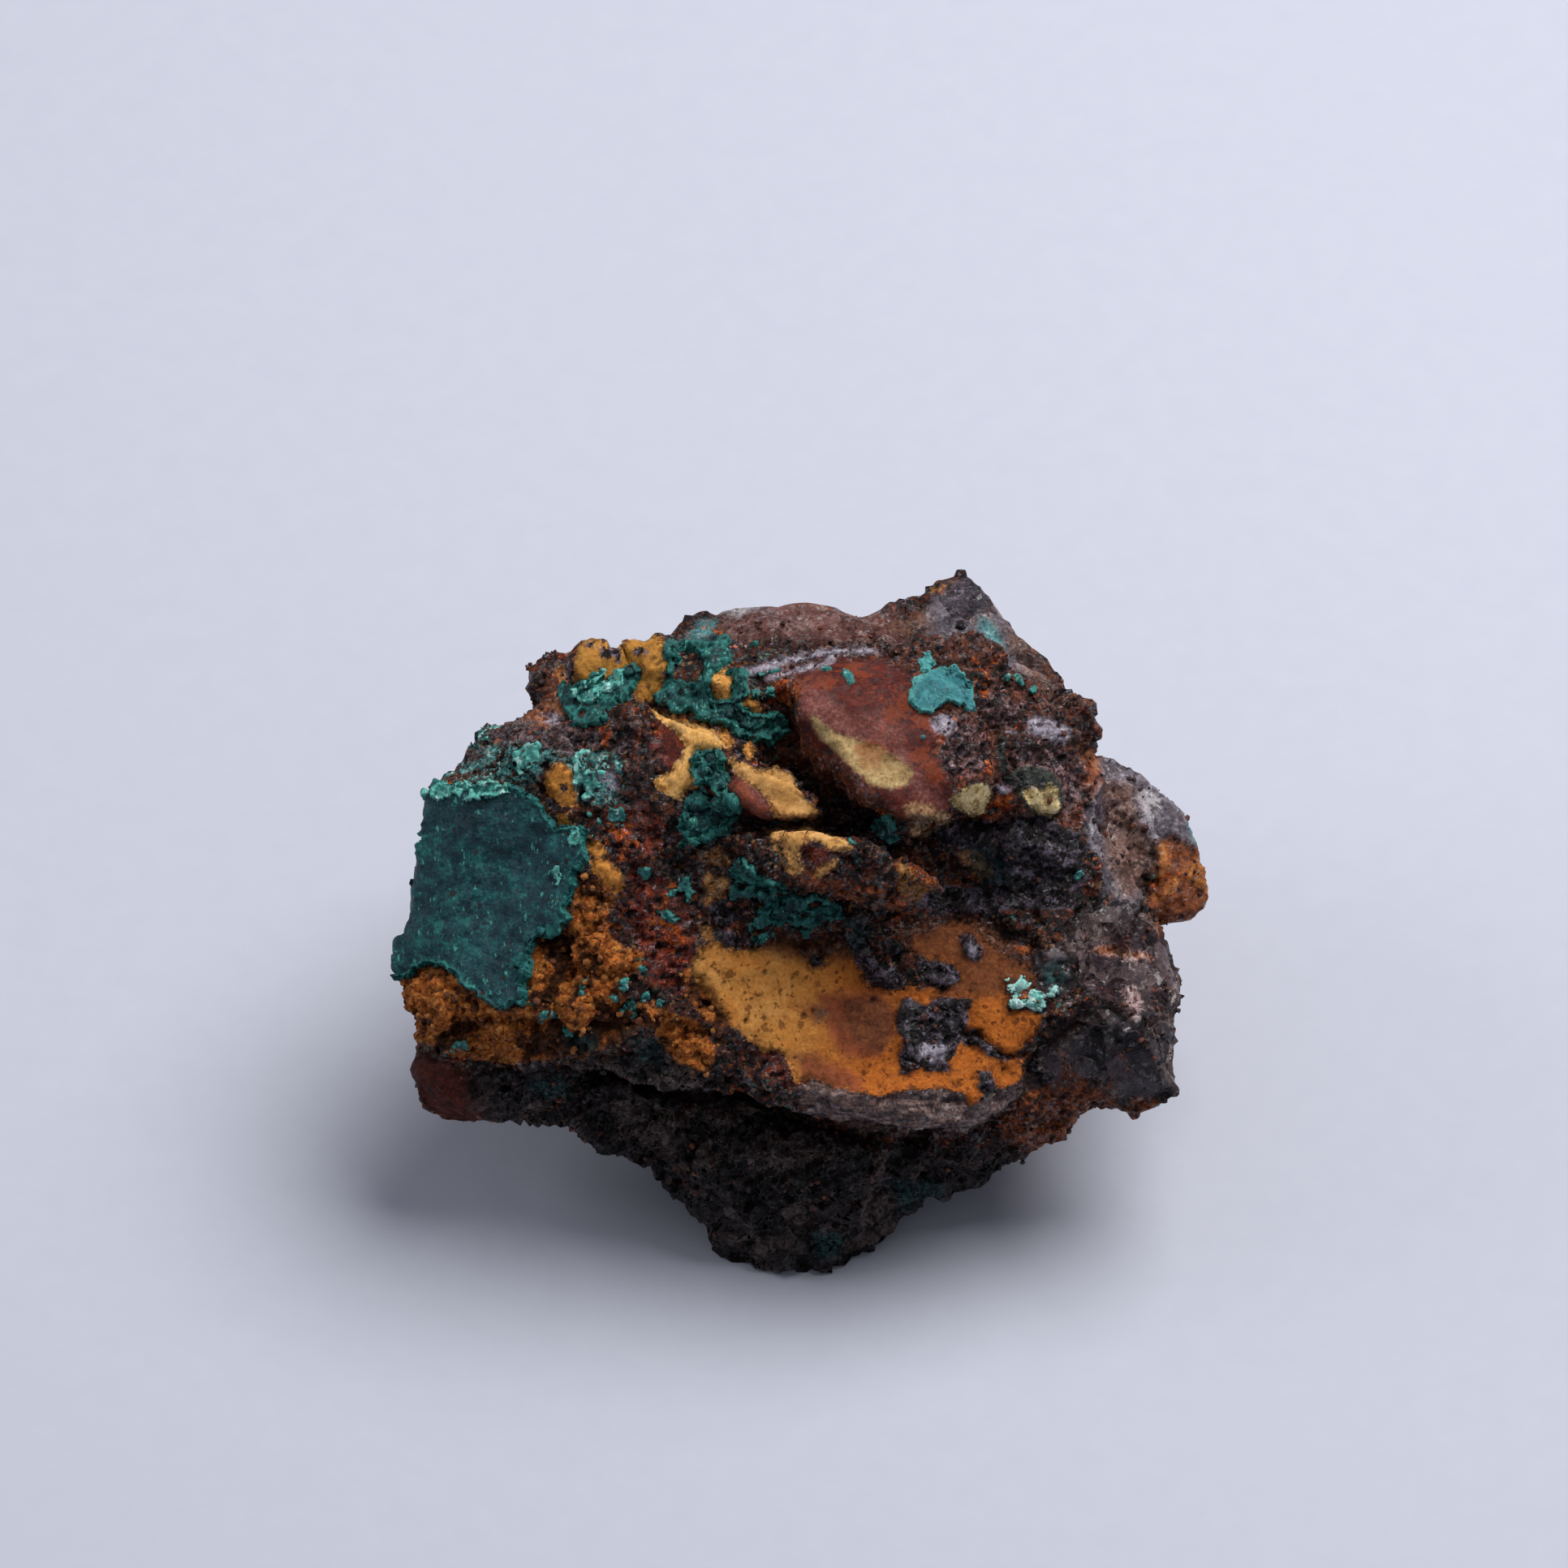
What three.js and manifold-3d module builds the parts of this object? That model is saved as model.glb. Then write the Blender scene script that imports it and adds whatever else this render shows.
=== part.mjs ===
// A pseudomalachite specimen: one lump of gossan (dark iron-oxide rock with ochre) whose broad
// leaning face carries crusts of green pseudomalachite. The lump stands on its own feet.
// Millimetres, +Z up, the rest plane at z = 0 and the origin under the middle of the bounding box.
import * as THREE from "three";
import { ConvexGeometry } from "three/addons/geometries/ConvexGeometry.js";
import { SimplexNoise } from "three/addons/math/SimplexNoise.js";
import { mergeVertices } from "three/addons/utils/BufferGeometryUtils.js";
import Module from "manifold-3d";

// ---- Driving dimensions ----
const FACE_LEAN = 50; // degrees that the broad face leans back from upright
const FACE_HEIGHT = 23; // height of the face's own origin above the table
const GAP = 0.3; // clearance between a crust and the rock under it
const LONGEST_EDGE = { front: 3.1, back: 5.5 }; // no edge of the rock's surface is longer than this
const FRONT_DEPTH = -7; // the front's surface lies further out than this, square to the face
const WEATHERING = [
  { size: 7.0, depth: 0.42 }, // broad swells, as wavelength and depth
  { size: 2.6, depth: 0.2 }, // knuckles
];
const CRUST_REACH = 5; // how far above and below the face a crust is looked for
const ROCK_SEED = 7;

const wasm = await Module();
wasm.setup();

// ---- Places ----
// A place on the face is [across, up, out]: up runs along the leaning face, out stands square to it.
const lean = THREE.MathUtils.degToRad(FACE_LEAN);
const ACROSS = new THREE.Vector3(1, 0, 0);
const UP = new THREE.Vector3(0, Math.sin(lean), Math.cos(lean));
const OUT = new THREE.Vector3(0, -Math.cos(lean), Math.sin(lean));
const FACE_ORIGIN = new THREE.Vector3(0, 0, FACE_HEIGHT);
const FACE_FRAME = new THREE.Matrix4().makeBasis(ACROSS, UP, OUT).setPosition(FACE_ORIGIN);
const onFace = ([u, v, w]) => new THREE.Vector3(u, v, w).applyMatrix4(FACE_FRAME);

// A repeatable stream of numbers from 0 to 1.
function randoms(seed) {
  let state = seed;
  return () => {
    state = (state * 1664525 + 1013904223) % 4294967296;
    return state / 4294967296;
  };
}

// ---- Between three.js geometry and solids ----
function solidFrom(geometry) {
  const bare = new THREE.BufferGeometry();
  bare.setAttribute("position", geometry.getAttribute("position"));
  bare.setIndex(geometry.index);
  const merged = mergeVertices(bare, 1e-4);
  return new wasm.Manifold(
    new wasm.Mesh({
      numProp: 3,
      vertProperties: new Float32Array(merged.attributes.position.array),
      triVerts: new Uint32Array(merged.index.array),
    }),
  );
}

function geometryFrom(solid) {
  const mesh = solid.getMesh();
  const geometry = new THREE.BufferGeometry();
  geometry.setAttribute("position", new THREE.BufferAttribute(mesh.vertProperties, 3));
  geometry.setIndex(new THREE.BufferAttribute(mesh.triVerts, 1));
  geometry.computeVertexNormals();
  return geometry;
}

const join = (solids) => solids.reduce((whole, piece) => whole.add(piece));
const largest = (solid) => solid.decompose().reduce((a, b) => (a.volume() > b.volume() ? a : b));
const moved = (solid, way, step) => solid.translate(way.clone().multiplyScalar(step).toArray());

// A block with flat faces, from its corners on the face.
const block = (corners) => solidFrom(new ConvexGeometry(corners.map(onFace)));
// The same, from corners in the standing frame.
const footing = (corners) => solidFrom(new ConvexGeometry(corners.map((c) => new THREE.Vector3(...c))));

// A cobble: the hull of a few points strewn over an ellipsoid, so that it has flat broken faces.
function cobble(centre, radii, random, corners = 10) {
  const tumble = new THREE.Quaternion(random() - 0.5, random() - 0.5, random() - 0.5, random()).normalize();
  const points = [];
  for (let i = 0; i < corners; i++) {
    const height = 1 - (2 * (i + 0.5)) / corners;
    const turn = i * 2.399963 + random() * 0.7;
    const ring = Math.sqrt(1 - height * height);
    const point = new THREE.Vector3(ring * Math.cos(turn), ring * Math.sin(turn), height);
    point.multiplyScalar(0.82 + 0.3 * random()).multiply(new THREE.Vector3(...radii));
    points.push(point.applyQuaternion(tumble).add(centre));
  }
  return solidFrom(new ConvexGeometry(points));
}

// ---- The rock's main body: two reliefs, front and back, that share one rim ----
// Rim of the main body, anticlockwise from the upper left, seen square to the face.
const RIM = [
  [-22.6, 5.6, -3.2],
  [-22.8, 3.4, -3.4],
  [-23.2, 1.0, -4.0],
  [-23.8, -1.5, -4.6],
  [-25.2, -3.2, -5.2],
  [-24.6, -6.4, -5.2],
  [-23.6, -8.6, -6.0],
  [-22.6, -10.2, -6.5],
  [-19.0, -11.0, -6.0],
  [-14.5, -11.4, -5.0],
  [-11.0, -11.6, -3.0],
  [-7.5, -11.9, -1.6],
  [-3.4, -12.5, -0.6],
  [1.0, -13.8, -0.2],
  [6.0, -14.7, 0.0],
  [10.5, -14.8, -0.8],
  [13.2, -14.0, -2.6],
  [16.0, -14.0, -5.5],
  [17.6, -13.8, -6.0],
  [19.8, -13.7, -6.0],
  [20.8, -14.3, -6.0],
  [23.4, -13.1, -5.6],
  [24.2, -11.6, -4.8],
  [23.8, -9.8, -4.6],
  [23.6, -8.2, -5.0],
  [24.4, -6.7, -5.0],
  [23.6, -4.4, -5.4],
  [22.8, -2.2, -6.0],
  [21.0, 0.6, -6.4],
  [19.8, 4.0, -7.0],
  [19.2, 7.0, -7.0],
  [18.5, 9.2, -6.2],
  [18.8, 10.8, -5.8],
  [18.0, 12.0, -6.0],
  [16.2, 12.6, -6.2],
  [14.6, 14.0, -5.6],
  [12.8, 14.4, -4.6],
  [11.6, 15.8, -3.8],
  [10.2, 17.0, -3.4],
  [8.2, 16.4, -3.0],
  [6.0, 14.9, -3.0],
  [0.4, 15.0, -3.2],
  [-4.0, 15.5, -3.6],
  [-8.0, 15.3, -3.8],
  [-11.2, 14.2, -4.0],
  [-14.2, 12.6, -4.2],
  [-17.0, 11.1, -4.4],
  [-19.2, 10.4, -4.4],
  [-20.4, 9.0, -4.2],
  [-22.0, 7.4, -3.6],
];

const FRONT = {
  plateBed: [
    [-20.8, 5.8, -2.4],
    [-17, 6.2, -1.5],
    [-21, 1, -2.3],
    [-16.5, 2, -1.1],
    [-13.4, 4, -0.4],
    [-21, -3.5, -2.8],
    [-17, -3, -1.2],
    [-14, -0.5, 0],
  ],
  ochreBank: [
    [-22.4, -7, -3.2],
    [-18.5, -7.5, -1.4],
    [-15.7, -6.5, -0.3],
    [-19, -9.7, -2.2],
    [-22, -9.2, -4.2],
    [-14.5, -9.4, -1.2],
    [-12, -5, 0.9],
    [-12, -8.5, -0.2],
    [-8, -6.2, 0.7],
    [-8, -9.5, -0.3],
    [-4.5, -10.6, -0.1],
  ],
  shoulder: [
    [-19, 8.5, -2.4],
    [-16, 9.7, -1.6],
    [-12.7, 11, -0.8],
    [-15, 7.2, -0.4],
    [-11.7, 8, 0.4],
  ],
  crest: [
    [-12.5, 12.9, -1.9],
    [-9.5, 13.2, -1.2],
    [-6, 14.2, -1.6],
    [-2, 14.2, -1.6],
    [4, 13.5, -1],
    [10.5, 15, -1.8],
    [8.4, 15.2, -1.4],
  ],
  middle: [
    [-9, 10.5, 0.4],
    [-9, 6.5, 1.2],
    [-9.5, 2.5, 1],
    [-5.5, 5, 1.6],
    [-6, 1, 1.2],
    [-7.5, -2.5, 0.6],
    [-11, -1.5, 0.3],
    [-4, 11, 0.2],
    [-1, 10, -1.8],
    [-0.5, 13, -0.8],
    [4, 5, -1.8],
    [-1, 0.5, 1.6],
    [2.5, -1.5, 0],
  ],
  basin: [
    [-5, -3.7, 0.9],
    [-6, -5.5, 0.7],
    [-1.5, -3, 0.2],
    [-2.5, -6, 0.1],
    [1, -4.5, -1.1],
    [5, -4, -2.1],
    [9, -3.5, -2.8],
    [13, -4.2, -2.4],
    [1, -8, -1],
    [5, -7.7, -1.9],
    [9, -7.7, -2.2],
    [12.5, -7.5, -2.1],
    [-2.5, -9.2, 0.2],
    [1.5, -11.2, -0.1],
    [5.5, -11.2, -0.7],
    [9.5, -11, -0.8],
    [12.5, -10.2, -1.3],
  ],
  basinLip: [
    [-1, -12.2, 0.7],
    [3, -13, 1],
    [7.5, -13.7, 1],
    [11.5, -13.2, 0.2],
  ],
  hollow: [
    [6.5, -1, -3.4],
    [10, -0.7, -5],
    [9.5, 1.5, -4.8],
    [13, 0.7, -4.2],
    [12.5, -2, -3.6],
  ],
  rightBank: [
    [12.5, 12, -1.8],
    [15.5, 11, -2.6],
    [17.4, 10, -3.8],
    [13, 7.5, -1.2],
    [16, 7, -2.2],
    [13.5, 4, -1.8],
    [17, 4, -3.4],
    [15.5, 0, -3.2],
    [19, 0, -4.4],
    [16.5, -3, -2.4],
    [20.5, -3, -3.4],
    [22.4, -4.5, -4],
    [17.5, -6, -1.8],
    [21, -6.2, -2.2],
  ],
  greyBlock: [
    [15.5, -8, -1.2],
    [18.2, -8.5, -1.4],
    [21, -8.5, -1.2],
    [22.7, -11.4, -2.6],
    [15.5, -10.5, -2.5],
    [19, -12, -3.3],
  ],
};

const BACK = [
  [-19, 8, -9],
  [-20, 1, -11],
  [-20, -6, -10],
  [-13, 9.5, -14],
  [-13, 2, -18],
  [-13, -6, -13],
  [-5, 11, -17],
  [-5, 2, -21],
  [-4, -6, -15],
  [-4, -10.5, -9],
  [4, 11, -18],
  [4, 2, -22],
  [4, -6, -15],
  [5, -11.5, -8],
  [12, 11, -16],
  [12, 3, -19],
  [12, -5, -14],
  [12, -11, -8.5],
  [17, 6, -13],
  [19, -3, -12],
  [20, -9, -10],
];

// Splits the rim's polygon and its inner points into triangles, then turns edges until they are well shaped.
function triangulate(rim, inner) {
  const points = [...rim, ...inner];
  const turn = (a, b, c) =>
    (points[b][0] - points[a][0]) * (points[c][1] - points[a][1]) -
    (points[b][1] - points[a][1]) * (points[c][0] - points[a][0]);
  const contour = rim.map(([u, v]) => new THREE.Vector2(u, v));
  let faces = THREE.ShapeUtils.triangulateShape(contour, []).map(([a, b, c]) =>
    turn(a, b, c) > 0 ? [a, b, c] : [a, c, b],
  );
  for (let p = rim.length; p < points.length; p++) {
    const at = faces.findIndex(([a, b, c]) => turn(a, b, p) >= 0 && turn(b, c, p) >= 0 && turn(c, a, p) >= 0);
    if (at < 0) throw new Error("a relief point lies outside the rim: " + points[p]);
    const [a, b, c] = faces[at];
    faces.splice(at, 1, [a, b, p], [b, c, p], [c, a, p]);
  }
  const circled = (a, b, c, d) => {
    const rows = [a, b, c].map((k) => {
      const x = points[k][0] - points[d][0];
      const y = points[k][1] - points[d][1];
      return [x, y, x * x + y * y];
    });
    return new THREE.Matrix3().set(...rows.flat()).determinant() > 1e-6;
  };
  for (let flipped = true, rounds = 0; flipped && rounds < 60; rounds++) {
    flipped = false;
    for (let i = 0; i < faces.length; i++) {
      for (let side = 0; side < 3; side++) {
        const [a, b, c] = [0, 1, 2].map((k) => faces[i][(side + k) % 3]);
        const other = faces.findIndex((f, j) => j !== i && f.includes(a) && f.includes(b));
        if (other < 0) continue;
        const d = faces[other].find((k) => k !== a && k !== b);
        const convex = turn(c, a, d) > 1e-9 && turn(d, b, c) > 1e-9;
        if (!convex || !circled(a, b, c, d)) continue;
        faces[i] = [c, a, d];
        faces[other] = [d, b, c];
        flipped = true;
        break;
      }
    }
  }
  return { points, faces };
}

const front = triangulate(RIM, Object.values(FRONT).flat());
const back = triangulate(RIM, BACK);

function mainBody() {
  const corners = [];
  for (const [a, b, c] of front.faces) corners.push(front.points[a], front.points[b], front.points[c]);
  for (const [a, b, c] of back.faces) corners.push(back.points[a], back.points[c], back.points[b]);
  const geometry = new THREE.BufferGeometry().setFromPoints(corners.map(onFace));
  return solidFrom(geometry);
}

// How far out the front relief stands at a place across and up the face.
function reliefAt(u, v) {
  for (const [a, b, c] of front.faces) {
    const [A, B, C] = [a, b, c].map((k) => front.points[k]);
    const whole = (B[0] - A[0]) * (C[1] - A[1]) - (B[1] - A[1]) * (C[0] - A[0]);
    const s = ((B[0] - u) * (C[1] - v) - (B[1] - v) * (C[0] - u)) / whole;
    const t = ((C[0] - u) * (A[1] - v) - (C[1] - v) * (A[0] - u)) / whole;
    if (s >= 0 && t >= 0 && s + t <= 1) return s * A[2] + t * B[2] + (1 - s - t) * C[2];
  }
  return null;
}

// ---- Blocks, folds and knobs that stand out of the main body ----
const redBlock = () =>
  block([
    [0.2, 13.6, -0.5],
    [1.5, 12.8, 2.2],
    [7.0, 14.7, -0.5],
    [5.5, 12.6, 2.2],
    [10.7, 11.6, 1.3],
    [12.1, 7.2, 1.3],
    [11.6, 4.9, 0.2],
    [7.0, 3.3, 2.4],
    [5.8, 4.0, 2.4],
    [0.7, 11.0, 3.5],
    [3.5, 8.3, 4.7],
    [6.5, 5.8, 4.3],
    [8.0, 7.2, 3.9],
    [1.6, 8.4, 0.4],
    [4.6, 4.8, 0.0],
    [1.5, 11.0, -5.0],
    [10.5, 13.5, -5.0],
    [10.5, 5.5, -5.0],
    [6.5, 4.2, -3.0],
  ]);

const upperFold = () =>
  block([
    [-7.1, 11.0, 0.8],
    [-4.8, 10.4, 1.8],
    [-2.8, 8.0, 3.1],
    [0.3, 6.9, 3.3],
    [2.1, 4.9, 2.6],
    [-1.0, 4.6, 3.0],
    [-3.7, 5.7, 3.3],
    [-7.2, 6.7, 1.7],
    [-8.2, 9.2, 1.0],
    [-6.5, 9.0, -3.0],
    [0.5, 5.7, -3.0],
    [-4.0, 10.0, -3.0],
  ]);

const lowerFold = () =>
  block([
    [-4.5, 3.8, 1.6],
    [-1.5, 3.9, 3.2],
    [3.2, 3.5, 3.8],
    [3.5, 2.0, 4.4],
    [6.5, 2.1, 3.3],
    [9.0, 0.6, 2.5],
    [8.6, -0.6, 1.9],
    [4.0, -0.7, 2.8],
    [-1.0, 0.7, 3.3],
    [-4.0, 1.7, 2.2],
    [-4.0, 2.7, -2.0],
    [4.0, 1.2, -2.5],
    [7.0, 0.7, -0.6],
  ]);

const lowerLeftKnob = () =>
  block([
    [-23.7, -9.5, -5.0],
    [-23.7, -12.2, -6.2],
    [-22.8, -13.9, -7.2],
    [-21.0, -14.4, -8.0],
    [-18.0, -14.3, -8.0],
    [-14.5, -14.0, -8.0],
    [-12.0, -12.5, -6.5],
    [-14.0, -10.2, -4.0],
    [-21.0, -10.0, -3.9],
    [-18.5, -12.0, -4.7],
    [-22.5, -10.0, -12.0],
    [-14.0, -11.5, -13.0],
  ]);

const lowerLeftChin = () =>
  block([
    [-14.0, -14.0, -7.2],
    [-12.0, -15.9, -8.2],
    [-10.7, -15.5, -8.0],
    [-9.4, -17.2, -8.8],
    [-6.0, -13.0, -4.2],
    [-12.5, -12.2, -5.2],
    [-10.0, -12.0, -14.0],
    [-5.0, -16.5, -12.0],
  ]);

const lowerRightChin = () =>
  block([
    [17.4, -14.2, -6.6],
    [16.4, -15.5, -7.8],
    [13.0, -16.9, -9.0],
    [11.0, -18.6, -10.0],
    [9.2, -19.3, -10.6],
    [8.0, -15.0, -4.6],
    [13.5, -13.8, -4.0],
    [19.0, -13.0, -7.0],
    [14.0, -11.0, -13.0],
    [6.0, -17.0, -13.0],
  ]);

// The foot and the seat carry the specimen: both reach the rest plane.
const frontFoot = () =>
  footing([
    [-3.2, -11.2, -0.5],
    [1.6, -11.8, -0.5],
    [3.0, -9.6, -0.5],
    [-4.2, -9.4, -0.5],
    [-6.6, -9.7, 3.2],
    [4.4, -9.9, 2.4],
    [5.7, -9.2, 3.4],
    [9.0, -7.9, 2.6],
    [-9.4, -7.9, 6.2],
    [-4.0, -9.6, 9.0],
    [6.0, -9.2, 9.5],
    [-7.0, 3.0, -0.5],
    [7.5, 4.0, -0.5],
    [-11.0, 4.0, 12.0],
    [12.0, 4.0, 12.0],
  ]);

const rearSeat = () =>
  footing([
    [-8.5, 2.0, -0.5],
    [-12.6, 6.6, -0.5],
    [-11.0, 12.4, -0.5],
    [-4.6, 16.6, -0.5],
    [4.8, 15.2, -0.5],
    [12.2, 12.6, -0.5],
    [10.6, 5.0, -0.5],
    [-18.5, 6.0, 13.0],
    [-15.0, 15.5, 14.0],
    [-9.0, 20.5, 14.0],
    [7.0, 22.0, 13.0],
    [15.0, 18.5, 14.0],
    [19.0, 6.0, 12.0],
    [-15.0, -1.0, 9.5],
    [15.5, -1.0, 9.0],
  ]);

// The ridge behind the crest, its peak on the right, and the two lumps at the ends.
const backRidge = () =>
  footing([
    [-9.0, 19.5, 22.6],
    [-7.4, 21.0, 23.4],
    [-4.8, 22.3, 24.7],
    [-2.4, 22.6, 24.0],
    [1.0, 22.6, 23.8],
    [5.0, 22.0, 23.4],
    [-9.0, 16.5, 25.2],
    [2.0, 16.8, 25.8],
    [8.0, 17.0, 25.2],
    [-11.5, 20.5, 17.0],
    [-2.0, 24.4, 17.5],
    [7.0, 23.5, 15.0],
    [-12.0, 12.0, 21.0],
    [9.0, 12.0, 21.0],
    [-3.0, 18.0, 9.0],
  ]);

const backPeak = () =>
  footing([
    [4.2, 22.2, 23.4],
    [6.6, 23.0, 24.0],
    [9.0, 24.0, 24.8],
    [10.7, 24.2, 25.0],
    [11.7, 23.2, 24.3],
    [13.3, 21.8, 23.2],
    [15.6, 19.4, 22.6],
    [17.4, 17.0, 21.8],
    [5.0, 24.4, 16.0],
    [14.0, 22.6, 16.0],
    [12.0, 19.0, 9.0],
    [18.4, 12.0, 18.0],
    [5.0, 12.0, 22.0],
    [11.0, 20.0, 21.0],
    [8.0, 10.0, 10.0],
  ]);

const rightLump = () =>
  block([
    [18.6, 8.9, -9.0],
    [21.0, 7.7, -9.0],
    [23.2, 6.2, -9.0],
    [24.8, 4.6, -9.4],
    [25.3, 2.8, -9.6],
    [25.8, 0.8, -9.4],
    [25.4, -0.9, -9.6],
    [23.4, -2.2, -8.6],
    [22.6, 2.0, -7.2],
    [20.5, 6.0, -7.6],
    [15.0, 6.0, -9.5],
    [23.0, 3.5, -14.5],
    [15.0, -3.0, -9.5],
    [23.6, -1.0, -12.5],
    [16.0, 2.0, -16.0],
  ]);

const farLeftLump = () =>
  block([
    [-16.3, 12.3, -8.4],
    [-16.5, 14.0, -9.0],
    [-15.0, 15.2, -9.6],
    [-13.0, 14.8, -9.2],
    [-12.4, 12.2, -7.6],
    [-15.0, 12.0, -7.6],
    [-16.0, 11.0, -12.0],
    [-11.0, 13.5, -13.0],
    [-12.0, 8.0, -10.0],
  ]);

// Each row strews cobbles over a band of the face: its middle line, half width, count and size.
const BANDS = [
  { line: [[-22.4, -6.6], [-19, -8.2], [-15.6, -7.4], [-13, -8.6]], half: 1.5, count: 12, size: 1.25 },
  { line: [[-13.6, -1.2], [-12.4, -4], [-10.5, -7], [-6, -8.6]], half: 1.6, count: 10, size: 1.15 },
  { line: [[-12.4, 1.6], [-12.8, -0.6]], half: 0.7, count: 3, size: 0.9 },
  { line: [[-19.4, 9], [-15.4, 8.4], [-11, 9]], half: 1.5, count: 6, size: 0.9 },
  { line: [[-10.2, 6.6], [-9, 2.4], [-8, -3.4]], half: 1.7, count: 7, size: 0.9 },
  { line: [[9.2, 15.4], [14.4, 11.8], [17, 10.2]], half: 1.3, count: 8, size: 1.0 },
  { line: [[13.4, 8.6], [15.4, 5], [16.4, 0.6]], half: 1.8, count: 10, size: 1.0 },
  { line: [[12.6, -2.6], [16.6, -3.6], [20.6, -4.4]], half: 1.2, count: 7, size: 1.05 },
  { line: [[-3.4, 0], [0, -1.6], [3, -1.2]], half: 0.8, count: 4, size: 0.8 },
];
// Single cobbles on the face: [across, up, out] and radii.
const COBBLES = [
  { at: [-11.9, 13.6, -3.0], radii: [1.7, 1.7, 1.7] },
  { at: [-9.0, 13.8, -2.6], radii: [1.8, 1.9, 1.6] },
  { at: [-5.0, 12.7, 0.2], radii: [0.8, 1.15, 1.0] },
  { at: [12.0, 14.4, -2.6], radii: [1.7, 1.5, 1.5] },
  { at: [17.3, 10.8, -4.2], radii: [1.6, 1.6, 1.6] },
  { at: [20.6, -2.6, -4.4], radii: [2.2, 2.2, 1.8] },
  { at: [-13.6, -7.0, 0.3], radii: [1.9, 1.5, 1.2] },
  { at: [-8.8, -7.9, 0.4], radii: [1.3, 1.0, 1.0] },
];
// Boulders round the back and the flanks, in the standing frame: centre and radius.
const BOULDERS = [
  { at: [-11.0, 2.5, 8.0], radius: 5.6 },
  { at: [-13.0, 10.5, 12.0], radius: 6.4 },
  { at: [-6.0, 14.5, 9.0], radius: 6.6 },
  { at: [4.5, 15.0, 9.5], radius: 7.0 },
  { at: [11.5, 12.5, 10.5], radius: 6.6 },
  { at: [14.5, 5.0, 10.0], radius: 5.8 },
  { at: [12.0, -2.0, 8.5], radius: 4.0 },
  { at: [-9.5, -3.5, 6.8], radius: 3.6 },
  { at: [16.5, 9.5, 15.0], radius: 5.6 },
  { at: [-15.5, 8.5, 17.0], radius: 5.4 },
  { at: [-6.5, 17.0, 18.0], radius: 5.6 },
];

function cobbles() {
  const random = randoms(ROCK_SEED);
  const made = COBBLES.map(({ at, radii }) => cobble(onFace(at), radii, random));
  for (const { at, radius } of BOULDERS) {
    const radii = [0, 1, 2].map(() => radius * (0.8 + 0.3 * random()));
    made.push(cobble(new THREE.Vector3(...at), radii, random, 14));
  }
  for (const { line, half, count, size } of BANDS) {
    for (let i = 0; i < count; i++) {
      const along = ((i + random()) / count) * (line.length - 1);
      const k = Math.min(Math.floor(along), line.length - 2);
      const [u, v] = [0, 1].map(
        (axis) =>
          THREE.MathUtils.lerp(line[k][axis], line[k + 1][axis], along - k) + (random() - 0.5) * 2 * half,
      );
      const w = reliefAt(u, v);
      const radii = [0, 1, 2].map(() => size * (0.6 + 0.6 * random()));
      if (w !== null) made.push(cobble(onFace([u, v, w - 0.2 * size]), radii, random, 9));
    }
  }
  return made;
}

// ---- Pits and clefts ----
const cleft = () =>
  block([
    [-1.6, 12.0, 2.0],
    [0.2, 12.2, 2.0],
    [-2.0, 10.2, 3.0],
    [0.6, 9.6, 3.4],
    [2.6, 6.6, 4.2],
    [1.2, 6.6, 4.2],
    [-0.6, 9.6, -2.6],
    [1.6, 7.4, -1.8],
  ]);

const underFold = () =>
  block([
    [2.0, -1.4, 2.0],
    [8.4, -1.4, 3.0],
    [11.2, 1.2, 3.0],
    [9.6, 2.6, -1.0],
    [3.0, -0.6, -1.6],
    [8.0, 1.4, -5.6],
    [9.4, -1.6, -4.2],
  ]);

// ---- Finishing the rock ----
// Splits every edge longer than the limit at its middle, as often as needed.
function withShortEdges(geometry) {
  const points = [];
  const position = geometry.getAttribute("position");
  for (let i = 0; i < position.count; i++) points.push(new THREE.Vector3().fromBufferAttribute(position, i));
  let faces = [];
  for (let i = 0; i < geometry.index.count; i += 3) {
    faces.push([0, 1, 2].map((k) => geometry.index.getX(i + k)));
  }
  for (let split = true; split; ) {
    const middles = new Map();
    const middle = (a, b) => {
      const depth = points[a].clone().add(points[b]).divideScalar(2).sub(FACE_ORIGIN).dot(OUT);
      const limit = depth > FRONT_DEPTH ? LONGEST_EDGE.front : LONGEST_EDGE.back;
      if (points[a].distanceTo(points[b]) <= limit) return -1;
      const key = a < b ? `${a},${b}` : `${b},${a}`;
      if (!middles.has(key)) middles.set(key, points.push(points[a].clone().lerp(points[b], 0.5)) - 1);
      return middles.get(key);
    };
    faces = faces.flatMap(([a, b, c]) => {
      const [ab, bc, ca] = [middle(a, b), middle(b, c), middle(c, a)];
      const count = [ab, bc, ca].filter((m) => m >= 0).length;
      if (count === 0) return [[a, b, c]];
      if (count === 3) return [[a, ab, ca], [b, bc, ab], [c, ca, bc], [ab, bc, ca]];
      if (ab >= 0 && bc >= 0) return [[b, bc, ab], [a, ab, bc], [a, bc, c]];
      if (bc >= 0 && ca >= 0) return [[c, ca, bc], [b, bc, ca], [b, ca, a]];
      if (ca >= 0 && ab >= 0) return [[a, ab, ca], [c, ca, ab], [c, ab, b]];
      if (ab >= 0) return [[a, ab, c], [ab, b, c]];
      if (bc >= 0) return [[b, bc, a], [bc, c, a]];
      return [[c, ca, b], [ca, a, b]];
    });
    split = middles.size > 0;
  }
  const made = new THREE.BufferGeometry().setFromPoints(points);
  made.setIndex(faces.flat());
  return made;
}

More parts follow.
